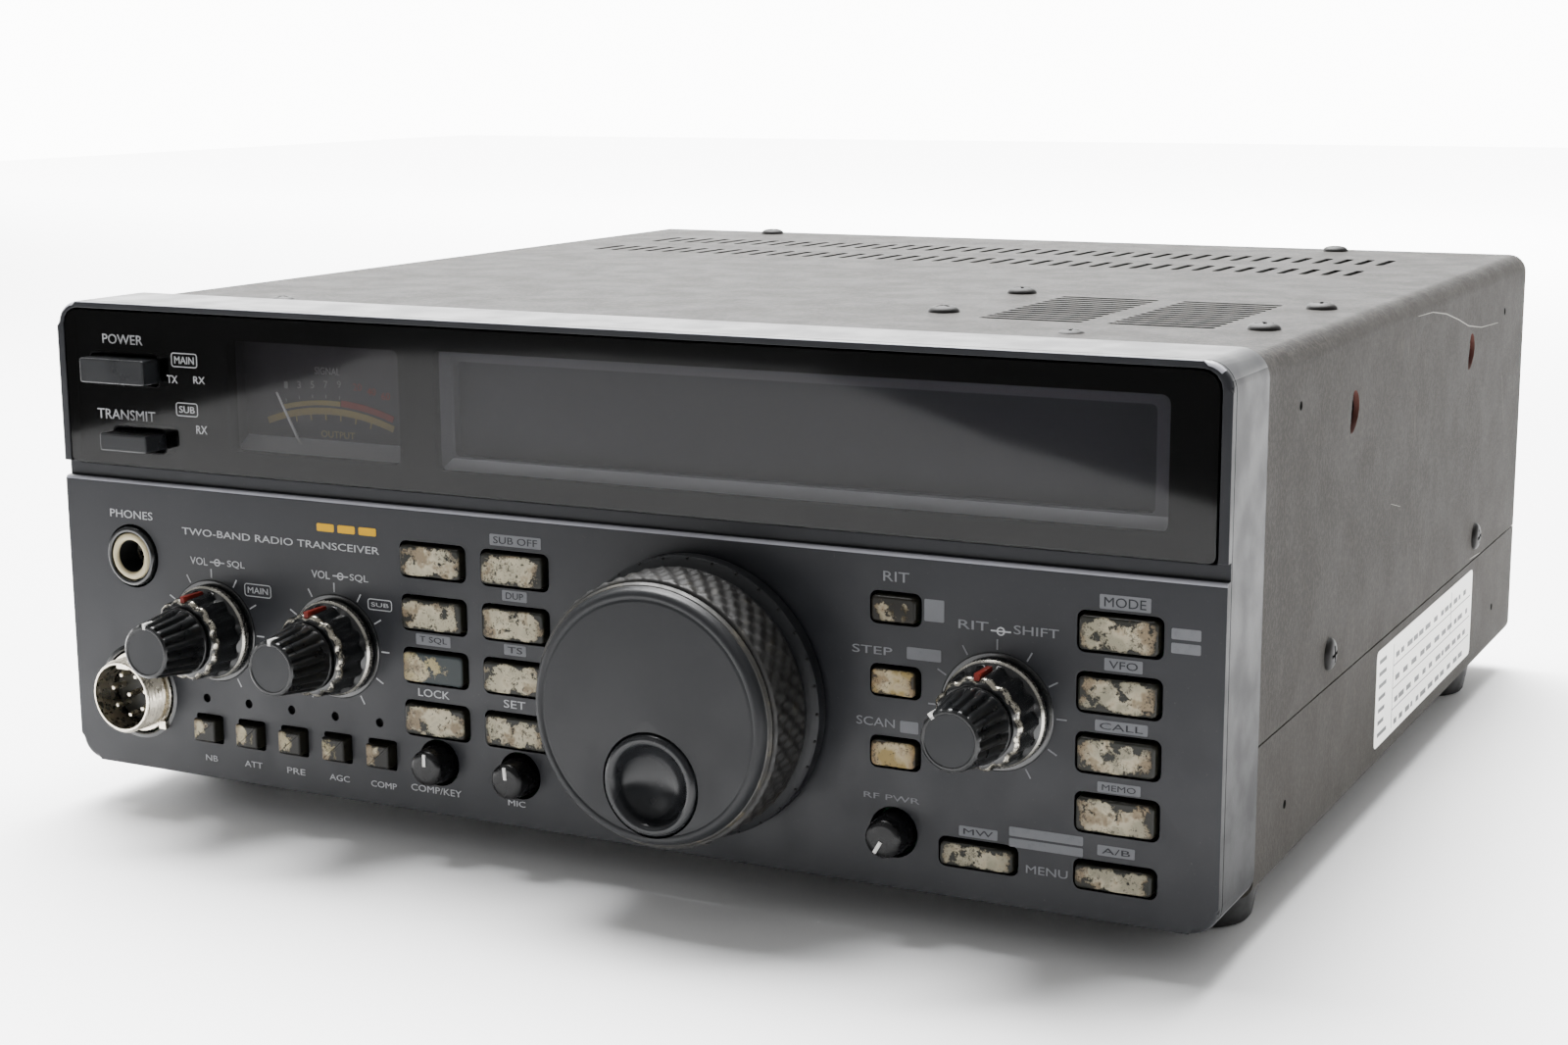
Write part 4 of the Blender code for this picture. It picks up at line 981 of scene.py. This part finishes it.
def needle_pointer():
    bm = bmesh.new()
    pivot = (NEEDLE_PIVOT[0], middle("meter_needle").y, NEEDLE_PIVOT[1])
    turn(bm, [(0.8, 0.75), (0.8, 1.9), (-0.8, 1.9), (-0.8, 0.75)], pivot, steps=20, loop=True)
    blade = prism(bm, [(-0.42, 1.5), (0.42, 1.5), (0.16, 26.4), (-0.16, 26.4)], -0.14, 0.14)
    swing(bm, corner_points(blade), pivot, NEEDLE_LEAN)
    piece("needle_pointer", bm, [NEEDLE], body="meter_needle", replaces=["meter_needle"])


def display():
    low, high = span("display_module")
    x0, z0, x1, z1 = DISPLAY
    x, z, wide, tall = (x0 + x1) / 2, (z0 + z1) / 2, high.x - low.x, high.z - low.z
    bm = bmesh.new()
    outer = rounded(x, z, wide, tall, 0.6)
    frame_ring(bm, outer, rounded(x - 0.4, z + 0.2, x1 - x0 - 5.5, z1 - z0 - 4.6, 1.0), low.y, low.y + 2.0, 1)
    near, far = low.y - 1.2, low.y + 0.1
    left = [(x0 - 0.8, near), (x0 - 0.1, near), (x0 + 1.9, far), (x0 - 0.8, far)]
    prism(bm, left, z0 - 0.4, z1 + 0.4, "Z", 1)
    below = [(near, z0 - 0.8), (near, z0 - 0.1), (far, z0 + 2.3), (far, z0 - 0.8)]
    prism(bm, below, x0 - 0.4, x1 + 0.4, "X", 2)
    prism(bm, outer, low.y + 2.0, high.y)
    soften(bm, 0.7, 60, 2, lambda co: co.y < far and co.x > x0 + 2 and co.x < x1 - 1)
    finishes = [DISPLAY_GREY, DISPLAY_FRAME, DISPLAY_LIP]
    piece("display_screen", bm, finishes, replaces=["display_module"])


# ---------------------------------------------------------------- lettering on the front
LABEL_ROWS = [((94.5, 96.4), [("POWER", -108.8, -98.6)]), ((79.5, 81.5), [("TRANSMIT", -111.1, -96.4)]),
              ((87.5, 89.0), [("TX", -92.9, -90.3)]), ((87.7, 89.1), [("RX", -86.3, -83.5)]),
              ((77.9, 79.5), [("RX", -86.2, -83.5)]), ((59.7, 61.3), [("PHONES", -109.4, -98.5)]),
              ((51.8, 53.3), [("VOL", -89.4, -85.1), ("SQL", -80.2, -75.9), ("VOL", -59.7, -55.4),
                              ("SQL", -50.7, -46.4)]),
              ((11.9, 13.1), [("NB", -88.0, -85.0), ("ATT", -78.2, -73.8), ("PRE", -67.7, -63.3),
                              ("AGC", -57.4, -52.6), ("COMP", -47.5, -41.5)]),
              ((31.2, 32.7), [("LOCK", -35.7, -28.6), ("SET", -16.5, -11.7)]),
              ((12.4, 13.7), [("COMP/KEY", -38.1, -26.6)]), ((12.4, 13.5), [("MIC", -16.1, -12.3)]),
              ((24.0, 25.0), [("RF PWR", 57.2, 67.7)]), ((62.4, 64.1), [("RIT", 60.8, 65.6)]),
              ((49.5, 50.9), [("STEP", 55.0, 62.5)]), ((36.9, 38.4), [("SCAN", 55.8, 63.0)]),
              ((14.8, 16.2), [("MENU", 87.2, 94.6)]),
              ((55.6, 57.1), [("RIT", 74.6, 80.0), ("SHIFT", 84.5, 92.4)]),
              ((57.6, 59.0), [("TWO-BAND RADIO TRANSCEIVER", -91.1, -43.6)])]
PLATES = [("SUB OFF", -18.6, -7.5, 61.7, 63.8), ("DUP", -16.2, -10.8, 51.5, 53.5),
          ("T SQL", -35.8, -28.0, 41.2, 43.3), ("TS", -16.1, -11.3, 41.3, 43.3),
          ("MODE", 99.3, 108.0, 61.4, 63.8), ("VFO", 100.3, 106.8, 51.2, 53.3),
          ("CALL", 98.9, 107.9, 40.9, 42.8), ("MEMO", 99.5, 106.9, 30.6, 32.4),
          ("A/B", 99.7, 106.2, 19.8, 21.6), ("MW", 75.0, 82.0, 19.6, 21.4)]
BLANK_PLATES = [(68.4, 56.2, 72.0, 60.0), (65.2, 49.3, 71.5, 51.4), (64.0, 36.3, 67.4, 38.4),
                (111.5, 55.3, 116.4, 57.0), (111.5, 57.6, 116.4, 59.4), (84.1, 19.0, 97.2, 20.5),
                (84.1, 20.9, 97.2, 22.5)]
FRAMES = [("MAIN", -91.6, -85.2, 90.7, 93.5), ("SUB", -91.0, -85.6, 81.1, 83.8),
          ("MAIN", -76.2, -69.7, 46.6, 49.2), ("SUB", -46.7, -41.1, 46.8, 49.0)]
INK_BACK = 0.03
INK_PROUD = 0.05
FRAME_LINE = 0.18


def ink(bm, outline, slot=0, proud=INK_PROUD):
    """Printed patch on the front plane."""
    return prism(bm, outline, FRONT - proud, FRONT + INK_BACK, slot=slot)


def lettering():
    bm = bmesh.new()
    for (z0, z1), labels in LABEL_ROWS:
        for words, x0, x1 in labels:
            text(bm, words, x0, x1, z0, z1, FRONT, 4 if x0 > 50 else 0)
    for words, x0, x1, z0, z1 in FRAMES:
        inner = cornered(x0 + FRAME_LINE, z0 + FRAME_LINE, x1 - FRAME_LINE, z1 - FRAME_LINE, 0.42)
        frame_ring(bm, cornered(x0, z0, x1, z1, 0.6), inner, FRONT - INK_PROUD, FRONT + INK_BACK)
        text(bm, words, x0 + 0.8, x1 - 0.8, z0 + 0.7, z1 - 0.7, FRONT)
    for words, x0, x1, z0, z1 in PLATES:
        text(bm, words, x0 + 0.8, x1 - 0.8, z0 + 0.4, z1 - 0.4, FRONT - 0.03, 1)
    for plate in BLANK_PLATES + [(x0, z0, x1, z1) for words, x0, x1, z0, z1 in PLATES]:
        ink(bm, cornered(*plate, 0.2, 2), 3, 0.04)
    for node in RINGS:
        faint = node == "shift_ring"
        for k in range(-5, 6):
            line = [(-0.13, 10.6), (0.13, 10.6), (0.13, 12.4), (-0.13, 12.4)]
            tick = prism(bm, line, -INK_PROUD, INK_BACK, slot=4 if faint else 0)
            swing(bm, corner_points(tick), on_front(node), 30 * k)
        x, y, z = on_front(node, 0.6 if faint else 1.6, 0.0, 13.8)
        ink(bm, rounded(x, z, 3.6, 0.25, 0.05, 1))
        frame_ring(bm, circle(x, z, 0.75, 16), circle(x, z, 0.5, 16), y - 0.06, y + INK_BACK)
    for k in range(3):
        ink(bm, rounded(-56.0 + k * 4.9, 61.8, 4.0, 1.5, 0.3), 2)
    piece("panel_lettering", bm, [WHITE_INK, DARK_INK, AMBER_INK, PLATE_INK, FAINT_INK])


# ---------------------------------------------------------------- case
def channel_outline(half, end, flat, bend):
    """Cross-section of a bent sheet: two legs from end to the flat, which is above or below them."""
    turn_up = 1 if flat > end else -1
    def side(inset):
        radius = bend - inset
        points = [(half - inset, end)]
        for angle in (RIGHT_ANGLE * k / 6 for k in range(7)):
            rise = bend - radius * math.sin(angle)
            points.append((half - bend + radius * math.cos(angle), flat - turn_up * rise))
        return points + [(-x, z) for x, z in reversed(points)]
    return side(0.0) + side(SHEET)[::-1]


SHEET = 1.0
VENT_ROWS = ((76.6, 91.0), (47.4, 61.3))
VENTS = 40
VENT_STEP = 4.92
SPEAKER_BLOCKS = ((55.0, 75.2), (80.2, 100.2))
SPEAKER_Y = (-66.0, -19.5)
SLITS = 13
LOW_VENT_ROWS = (-30.0, 10.0, 50.0)
LOW_VENTS = 28
TOP_SCREWS = ((44.9, -57.8), (44.8, -17.4), (108.7, -62.6), (108.6, -23.6), (-80.8, 114.0), (75.3, 114.0))
FLAT_SCREWS = ((79.5, -81.5), (-88.0, -89.2))
SIDE_SCREWS = ((-54.2, 41.5), (73.1, 40.8))
SIDE_HOLES = ((-78.8, 90.4), (96.0, 90.0))
LOW_HOLES = ((-80.8, 20.4), (97.2, 19.4))
HOOKS = ((-41.3, 84.6), (60.6, 84.6))


def hook_outline(y, z):
    """Bean-shaped slot for a bracket, 8 mm tall, in Y and Z."""
    outline = []
    for across, up in circle(0.0, 0.0, 1.0, 16):
        outline.append((y + 2.8 * across + 0.8 * up - 1.28 * up * up, z + 4.0 * up))
    return outline


def pierce(knife, outline, at, axis, slot=1):
    """Add a cutter that goes 3 mm to each side of a plane."""
    prism(knife, outline, at - 3, at + 3, axis, slot)


def upper_cover():
    bm = bmesh.new()
    prism(bm, channel_outline(SIDE, CASE_LOW.z, ROOF, 4.0), CASE_LOW.y, BACK)
    soften(bm, 0.25, 60, 2, lambda co: abs(co.z - CASE_LOW.z) > 0.5)
    knife = bmesh.new()
    for y0, y1 in VENT_ROWS:
        for k in range(VENTS):
            x = (k - (VENTS - 1) / 2) * VENT_STEP - 1.0
            pierce(knife, rounded(x, (y0 + y1) / 2, 1.9, y1 - y0, 0.94, 3), ROOF, "Z")
    for x0, x1 in SPEAKER_BLOCKS:
        for k in range(SLITS):
            y = SPEAKER_Y[0] + (k + 0.5) * (SPEAKER_Y[1] - SPEAKER_Y[0]) / SLITS
            pierce(knife, rounded((x0 + x1) / 2, y, x1 - x0, 2.0, 0.3, 2), ROOF, "Z")
    for side in (-SIDE, SIDE):
        for hook in HOOKS:
            pierce(knife, hook_outline(*hook), side, "X", 2)
        for hole in SIDE_HOLES:
            pierce(knife, circle(*hole, 0.85, 16), side, "X")
    # painted shade: the walls of the vents, slits and holes are near-black
    piece("upper_cover", cut(bm, knife), [PAINT, HOLE, PRIMER], replaces=["top_cover"])


def lower_cover():
    bm = bmesh.new()
    prism(bm, channel_outline(SIDE, FLOOR_HIGH.z, FLOOR_LOW.z, 3.0), FLOOR_LOW.y, FLOOR_HIGH.y)
    knife = bmesh.new()
    for row in LOW_VENT_ROWS:
        for k in range(LOW_VENTS):
            pierce(knife, rounded((k - (LOW_VENTS - 1) / 2) * 5.0, row, 2.0, 22.0, 0.98, 3), FLOOR_LOW.z, "Z")
    for side in (-SIDE, SIDE):
        for hole in LOW_HOLES:
            pierce(knife, circle(*hole, 0.85, 16), side, "X")
    # painted shade: the walls of the vents and holes are near-black
    piece("lower_cover", cut(bm, knife), [PAINT, HOLE], replaces=["bottom_cover"])


def case_screws():
    bm = bmesh.new()
    turns = random.Random(7)
    for x, y in TOP_SCREWS:
        pan_screw(bm, (x, y, ROOF - 0.05), "up", spin=turns.random() * 3)
    for x, y in FLAT_SCREWS:
        pan_screw(bm, (x, y, ROOF - 0.5), "up", 2.6, turns.random() * 3)
    for y, z in SIDE_SCREWS:
        pan_screw(bm, (SIDE - 0.05, y, z), "right", spin=turns.random() * 3)
        pan_screw(bm, (-SIDE + 0.05, y, z), "left", spin=turns.random() * 3)
    for x in (-70.0, 70.0):
        for y in (-60.0, 95.0):
            pan_screw(bm, (x, y, FLOOR_LOW.z + 0.05), "down", 2.4, turns.random() * 3)
    piece("case_screws", bm, [BLACK_SCREW])


def label_plate():
    """Blank rating plate: ruled lines and grey blocks only."""
    y0, y1, z0, z1 = -16.5, 72.7, 13.4, 33.3
    bm = bmesh.new()
    prism(bm, cornered(y0, z0, y1, z1, 1.4), SIDE - 0.02, SIDE + 0.1, "X")
    def rule(ya, yb, za, zb):
        prism(bm, [(ya, za), (yb, za), (yb, zb), (ya, zb)], SIDE + 0.05, SIDE + 0.14, "X", 1)
    for z in (18.2, 22.6, 27.4):
        rule(y0 + 14, y1 - 2, z, z + 0.2)
    rule(y0 + 13.8, y0 + 14.0, z0 + 1.2, z1 - 1.2)
    rule(y1 - 22.0, y1 - 21.8, 22.6, z1 - 1.2)
    chance = random.Random(3)
    for z in (14.8, 19.4, 24.0, 28.8):
        y = y0 + 16.0
        while y < y1 - 6:
            wide = 1.5 + 3.5 * chance.random()
            rule(y, y + wide, z, z + 1.1)
            y += wide + 1.0 + 2.6 * chance.random()
    for k in range(7):
        rule(y0 + 2.2, y0 + 5.0 + 5.0 * chance.random(), z0 + 2.0 + 2.5 * k, z0 + 2.8 + 2.5 * k)
    piece("blank_rating_label", bm, [PAPER, PAPER_INK])


def scratches():
    """Pale scratches in the paint of the right-hand side."""
    bm = bmesh.new()
    curves = (((7.0, 97.4), (20.0, 97.0), (33.0, 95.4), (45.4, 93.0), (56.0, 90.6), (70.0, 88.9),
               (88.5, 88.1)), ((69.0, 36.2), (75.0, 35.9), (80.5, 35.6)), ((-10.0, 62.0), (-2.0, 60.2)),
              ((96.0, 75.0), (101.0, 63.0)))
    for curve in curves:
        half = [0.05 + 0.07 * math.sin(math.pi * k / (len(curve) - 1)) for k in range(len(curve))]
        outline = [(y, z + h) for (y, z), h in zip(curve, half)]
        outline += [(y, z - h) for (y, z), h in reversed(list(zip(curve, half)))]
        prism(bm, outline, SIDE - 0.02, SIDE + 0.02, "X")
    piece("case_scratches", bm, [SCRATCH])


def feet():
    for fore in ("front", "rear"):
        for side in ("left", "right"):
            node = f"foot_{fore}_{side}"
            place = (middle(node).x, middle(node).y, 0.0)
            top = span(node)[1].z
            cup = [(top, 0.0), (top, 10.0), (top - 0.5, 10.2), (2.4, 9.3), (1.0, 9.0), (0.3, 8.5), (0.0, 7.8),
                   (0.0, 3.0), (3.5, 2.8), (3.5, 0.0)]
            bm = bmesh.new()
            turn(bm, cup, place, "up", 40)
            turn(bm, [(3.4, 0.0), (3.4, 2.4), (2.6, 2.2), (2.2, 1.6), (2.2, 0.0)], place, "up", 20, 1)
            piece(node + "_moulded", bm, [FOOT, STEEL], replaces=[node])


# ---------------------------------------------------------------- rear
REAR_LOW, REAR_HIGH = span("rear_panel")


def on_rear(node, x=0.0, y=0.0, z=0.0):
    """Point on the back of the rear panel at the middle of a solid, moved by x, y and z."""
    spot = middle(node)
    return (spot.x + x, REAR_HIGH.y + y, spot.z + z)


def rear_plate():
    low, high = REAR_LOW, REAR_HIGH
    bm = bmesh.new()
    prism(bm, face_outline(low, high, 5.0), low.y, high.y)
    bores = [("fan_rotor", 28.0, 64), ("antenna_socket_a", 5.4, 24), ("antenna_socket_b", 5.4, 24)]
    outlines = [circle(middle(node).x, middle(node).z, radius, steps) for node, radius, steps in bores]
    knife = bmesh.new()
    for outline in outlines + [face_outline(*span("dc_socket"), 0.6, 0.6)]:
        prism(knife, outline, low.y - 2, high.y + 2)
    bm = cut(bm, knife)
    soften(bm, 0.2, 60, 1)
    piece("rear_plate", bm, [PAINT], replaces=["rear_panel"])


def fan_guard():
    """Wire finger guard over the fan: rings on a cross, held by four screws."""
    bm = bmesh.new()
    for radius in (9.0, 14.0, 19.0, 24.0, 28.5):
        turn(bm, circle(1.6, radius, 0.8, 8), on_rear("fan_rotor"), "rear", 56, loop=True)
    for k in range(4):
        rod = bmesh.new()
        turn(rod, [(7.0, 0.0), (7.0, 0.8), (34.5, 0.8), (34.5, 0.0)], (0, 0, 0), "right", 8)
        swing(rod, rod.verts, on_rear("fan_rotor", 0.0, 0.85), 45 + 90 * k)
        absorb(bm, rod, Matrix.Identity(4))
    turn(bm, [(0.1, 0.0), (0.1, 9.0), (0.9, 9.0), (1.2, 8.4), (1.2, 0.0)], on_rear("fan_rotor"), "rear", 40)
    piece("fan_guard", bm, [CHROME])


FLANGE_HOLE = 9.1


def antenna_socket(node):
    spot = middle(node)
    flange_y = REAR_HIGH.y + 0.3
    bm = bmesh.new()
    prism(bm, rounded(spot.x, spot.z, 25.4, 25.4, 2.0), flange_y, flange_y + 2.2)
    knife = bmesh.new()
    for dx, dz in corners(FLANGE_HOLE):
        prism(knife, circle(spot.x + dx, spot.z + dz, 1.7, 16), flange_y - 2, flange_y + 4)
    prism(knife, circle(spot.x, spot.z, 7.0, 32), flange_y - 2, flange_y + 4)
    bm = cut(bm, knife)
    soften(bm, 0.3, 60, 2, lambda co: co.y > flange_y + 2.1)
    levels = 78
    barrel = [(-8.0, 0.0), (-8.0, 5.0), (2.0, 5.0), (2.0, 6.9), (2.2, 7.9), (2.6, 7.9), (2.8, 7.65)]
    barrel += [(3.0 + 15.6 * k / levels, 7.65) for k in range(levels + 1)]
    barrel += [(19.2, 7.6), (19.8, 7.3), (20.0, 7.0), (20.0, 6.1), (19.6, 5.8), (8.0, 5.8), (8.0, 0.0)]
    place = (spot.x, BACK, spot.z)
    wave = thread(1.06, 0.24, 0.5, lambda radius, along: 7.55 <= radius <= 7.75 and along <= 18.6)
    turn(bm, barrel, place, "rear", wave=wave)
    insulator = [(8.0, 5.75), (14.0, 5.75), (14.4, 5.3), (14.4, 2.6), (8.0, 2.6)]
    turn(bm, insulator, place, "rear", 32, 1, loop=True)
    contact = [(8.0, 2.5), (17.0, 2.5), (17.2, 2.2), (17.2, 1.9), (8.0, 1.9)]
    turn(bm, contact, place, "rear", 32, 2, loop=True)
    piece(node + "_fitting", bm, [NICKEL, WHITE_PLASTIC, BRASS], replaces=[node], smooth=28)
    screws = bmesh.new()
    for dx, dz in corners(FLANGE_HOLE):
        pan_screw(screws, (spot.x + dx, flange_y + 2.15, spot.z + dz), "rear", 2.3, dx + dz)
    piece(node + "_screws", screws, [STEEL])


def power_inlet():
    low, high = span("dc_socket")
    spot = middle("dc_socket")
    floor_y = 111.0
    bm = bmesh.new()
    outer = face_outline(low, high, 1.2)
    frame_ring(bm, outer, face_outline(low, high, 0.8, -4.0), floor_y, high.y)
    prism(bm, outer, low.y, floor_y)
    soften(bm, 0.3, 60, 2, lambda co: co.y > high.y - 0.1)
    for x in (spot.x - 5.4, spot.x, spot.x + 5.4):
        for z in (spot.z - 3.2, spot.z + 3.2):
            solid(bm, (x - 0.9, floor_y - 0.5, z - 0.9), (x + 0.9, 119.5, z + 0.9), 1)
    piece("power_inlet", bm, [BUTTON, BRASS], replaces=["dc_socket"])


def rear_jacks():
    """Small jacks, a round accessory socket, a ground post and the plate's screws."""
    y = REAR_HIGH.y
    bm = bmesh.new()
    rim = [(-1.0, 4.2), (1.4, 4.2), (1.8, 3.8), (1.8, 2.0), (0.6, 1.8), (-1.0, 1.8)]
    # painted shade: near-black discs fill the jacks' holes and the accessory socket's pin holes
    for z in (78.0, 62.0, 46.0):
        turn(bm, rim, (-52.0, y, z), "rear", 32, 1, loop=True)
        disc(bm, -0.5, 0.1, 1.85, (-52.0, y, z), "rear", 16, 3)
    collar = [(-1.0, 9.6), (1.2, 9.6), (2.0, 8.9), (2.0, 7.7), (0.4, 7.5), (-1.0, 7.5)]
    turn(bm, collar, (70.0, y, 74.0), "rear", loop=True)
    disc(bm, -0.5, 0.3, 7.6, (70.0, y, 74.0), "rear", slot=1)
    for k in range(8):
        angle = math.radians(20 + 320 / 7 * k)
        disc(bm, 0.2, 0.5, 0.8, (70.0 + 4.6 * math.sin(angle), y, 74.0 - 4.6 * math.cos(angle)), "rear", 12, 3)
    post = [(-0.5, 0.0), (-0.5, 5.4), (0.9, 5.4), (0.9, 2.4), (8.6, 2.4), (9.0, 2.0), (9.0, 0.0)]
    turn(bm, post, (70.0, y, 22.0), "rear", 24)
    nut = [(1.2, 2.4), (1.2, 6.0), (5.6, 6.0), (6.0, 5.4), (6.0, 2.4)]
    turn(bm, nut, (70.0, y, 22.0), "rear", 6, 2, loop=True)
    turns = random.Random(11)
    for x in (-110.0, -30.0, 48.0, 110.0):
        for z in (16.0, 93.0):
            pan_screw(bm, (x, y - 0.05, z), "rear", 2.6, turns.random() * 3, 1)
    for dx, dz in corners(25.0):
        pan_screw(bm, on_rear("fan_rotor", dx, 1.5, dz), "rear", 2.8, turns.random() * 3, 1)
    for label in (("ANT 1", -112.0, -100.0, 88.5, 91.0), ("ANT 2", -112.0, -100.0, 52.5, 55.0),
                  ("DC 13.8 V", 82.0, 102.0, 43.5, 45.8), ("GND", 66.5, 73.5, 29.5, 31.5)):
        text(bm, *label, y, 4, facing="rear", spin=math.pi)
    piece("rear_fittings", bm, [NICKEL, BUTTON, BRASS, HOLE, WHITE_INK])


def inner_finishes():
    """Materials for the solids that keep their own shape."""
    chosen = {"chassis": ALUMINIUM, "main_board": BOARD, "front_board": BOARD, "speaker": CONE,
              "fan_frame": BUTTON, "fan_rotor": BUTTON, "dial_encoder": BUTTON, "meter_housing": METER_DARK}
    for node, finish in chosen.items():
        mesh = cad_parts[node].data
        mesh.materials.clear()
        mesh.materials.append(finish)


# ---------------------------------------------------------------- studio
TONGUE = ((-470, -440), (-478, -510), (-484, -580), (-500, -690), (-530, -770), (-430, -805), (-290, -795),
          (-225, -735), (-127, -635), (-8, -535), (60, -440))
LAMPS = (("overhead", (-0.35, 0.5, 1.5), (0.0, -0.1, 0.0), 1.3, 235.0),
         ("front_fill", (-0.9, -1.5, 0.9), (0.0, -0.1, 0.05), 1.0, 3.0))


def sky():
    """Light from behind, dimmed where the window would mirror it, on a faint even glow."""
    world = bpy.data.worlds.new("studio_light")
    bpy.context.scene.world = world
    world.use_nodes = True
    light = Nodes(world.node_tree)
    way = light.parts(light.add("ShaderNodeTexCoord").outputs["Generated"])
    taken = light.times(light.between(way["Z"], 0.03, 0.12), light.between(way["X"], -0.6, 0.3, 0.45, 0.9))
    behind = light.between(way["Y"], -0.2, 0.6, 0.0, 13.0)
    behind = light.times(behind, light.between(way["X"], 0.0, 0.6, 1.0, 0.4))
    behind = light.minus(behind, light.times(behind, taken))
    background = world.node_tree.nodes["Background"].inputs
    light.feed(background["Color"], "fafaf9")
    light.feed(background["Strength"], light.plus(behind, light.between(way["Z"], 0.0, 0.5, 0.16, 0.5)))


def table_top():
    """White table whose front edge has a tongue, and whose far end glows."""
    bm = bmesh.new()
    prism(bm, [(-2500, 3500), (-2500, -440), *TONGUE, (2500, -440), (2500, 3500)], -10, 0, "Z")
    bmesh.ops.recalc_face_normals(bm, faces=bm.faces)
    bmesh.ops.scale(bm, vec=(MM, MM, MM), verts=bm.verts)
    mesh = bpy.data.meshes.new("table_top")
    bm.to_mesh(mesh)
    bm.free()
    cloth = Finish("white_table", Roughness=0.8)
    white = cloth.mix(cloth.noise(400, 3), "f4f4f4", "efeff0")
    cloth.paint(cloth.between(cloth.axis("Y"), -345, -230), "949494", white)
    cloth.set("Emission Color", white)
    cloth.set("Emission Strength", cloth.between(cloth.axis("Y"), 450, 1700, 0.0, 9.0))
    mesh.materials.append(cloth.material)
    link("table_top", mesh)


def lamps():
    for name, place, aim, size, power in LAMPS:
        light = bpy.data.lights.new(name, "AREA")
        light.size = size
        light.energy = power
        lamp = link(name, light)
        lamp.location = place
        lamp.rotation_euler = (Vector(place) - Vector(aim)).to_track_quat("Z", "Y").to_euler()


def camera():
    azimuth, elevation, roll = (math.radians(v) for v in (27.167, 10.814, -0.336))
    back = Vector((math.sin(azimuth) * math.cos(elevation), -math.cos(azimuth) * math.cos(elevation),
                   math.sin(elevation)))
    right = (-back).cross(Vector((0, 0, 1))).normalized()
    up = right.cross(-back)
    across = right * math.cos(roll) + up * math.sin(roll)
    above = up * math.cos(roll) - right * math.sin(roll)
    data = bpy.data.cameras.new("camera")
    data.lens = 56.25
    data.sensor_width = 36.0
    data.clip_start = 0.01
    eye = link("camera", data)
    eye.matrix_world = Matrix((across, above, back)).transposed().to_4x4()
    eye.location = (0.230442, -0.486626, 0.149649)
    bpy.context.scene.camera = eye


camera()
sky()
table_top()
lamps()
front_moulding()
window_pane()
window_mask()
button_well_shade()
keys()
for ring in RINGS:
    squelch_ring(ring)
for knob, mark_angle in zip(KNOBS, (0.0, 0.0, -40.0)):
    volume_knob(knob, mark_angle)
for knob, mark_angle in zip(LEVEL_KNOBS, (0.0, -5.0, -150.0)):
    level_knob(knob, mark_angle)
gap_shade_rings()
tuning_dial()
grip_band()
finger_dish()
phones_socket()
mic_shell()
mic_pins()
meter_scale()
needle_pointer()
display()
lettering()
upper_cover()
lower_cover()
case_screws()
label_plate()
scratches()
feet()
rear_plate()
fan_guard()
antenna_socket("antenna_socket_a")
antenna_socket("antenna_socket_b")
power_inlet()
rear_jacks()
inner_finishes()
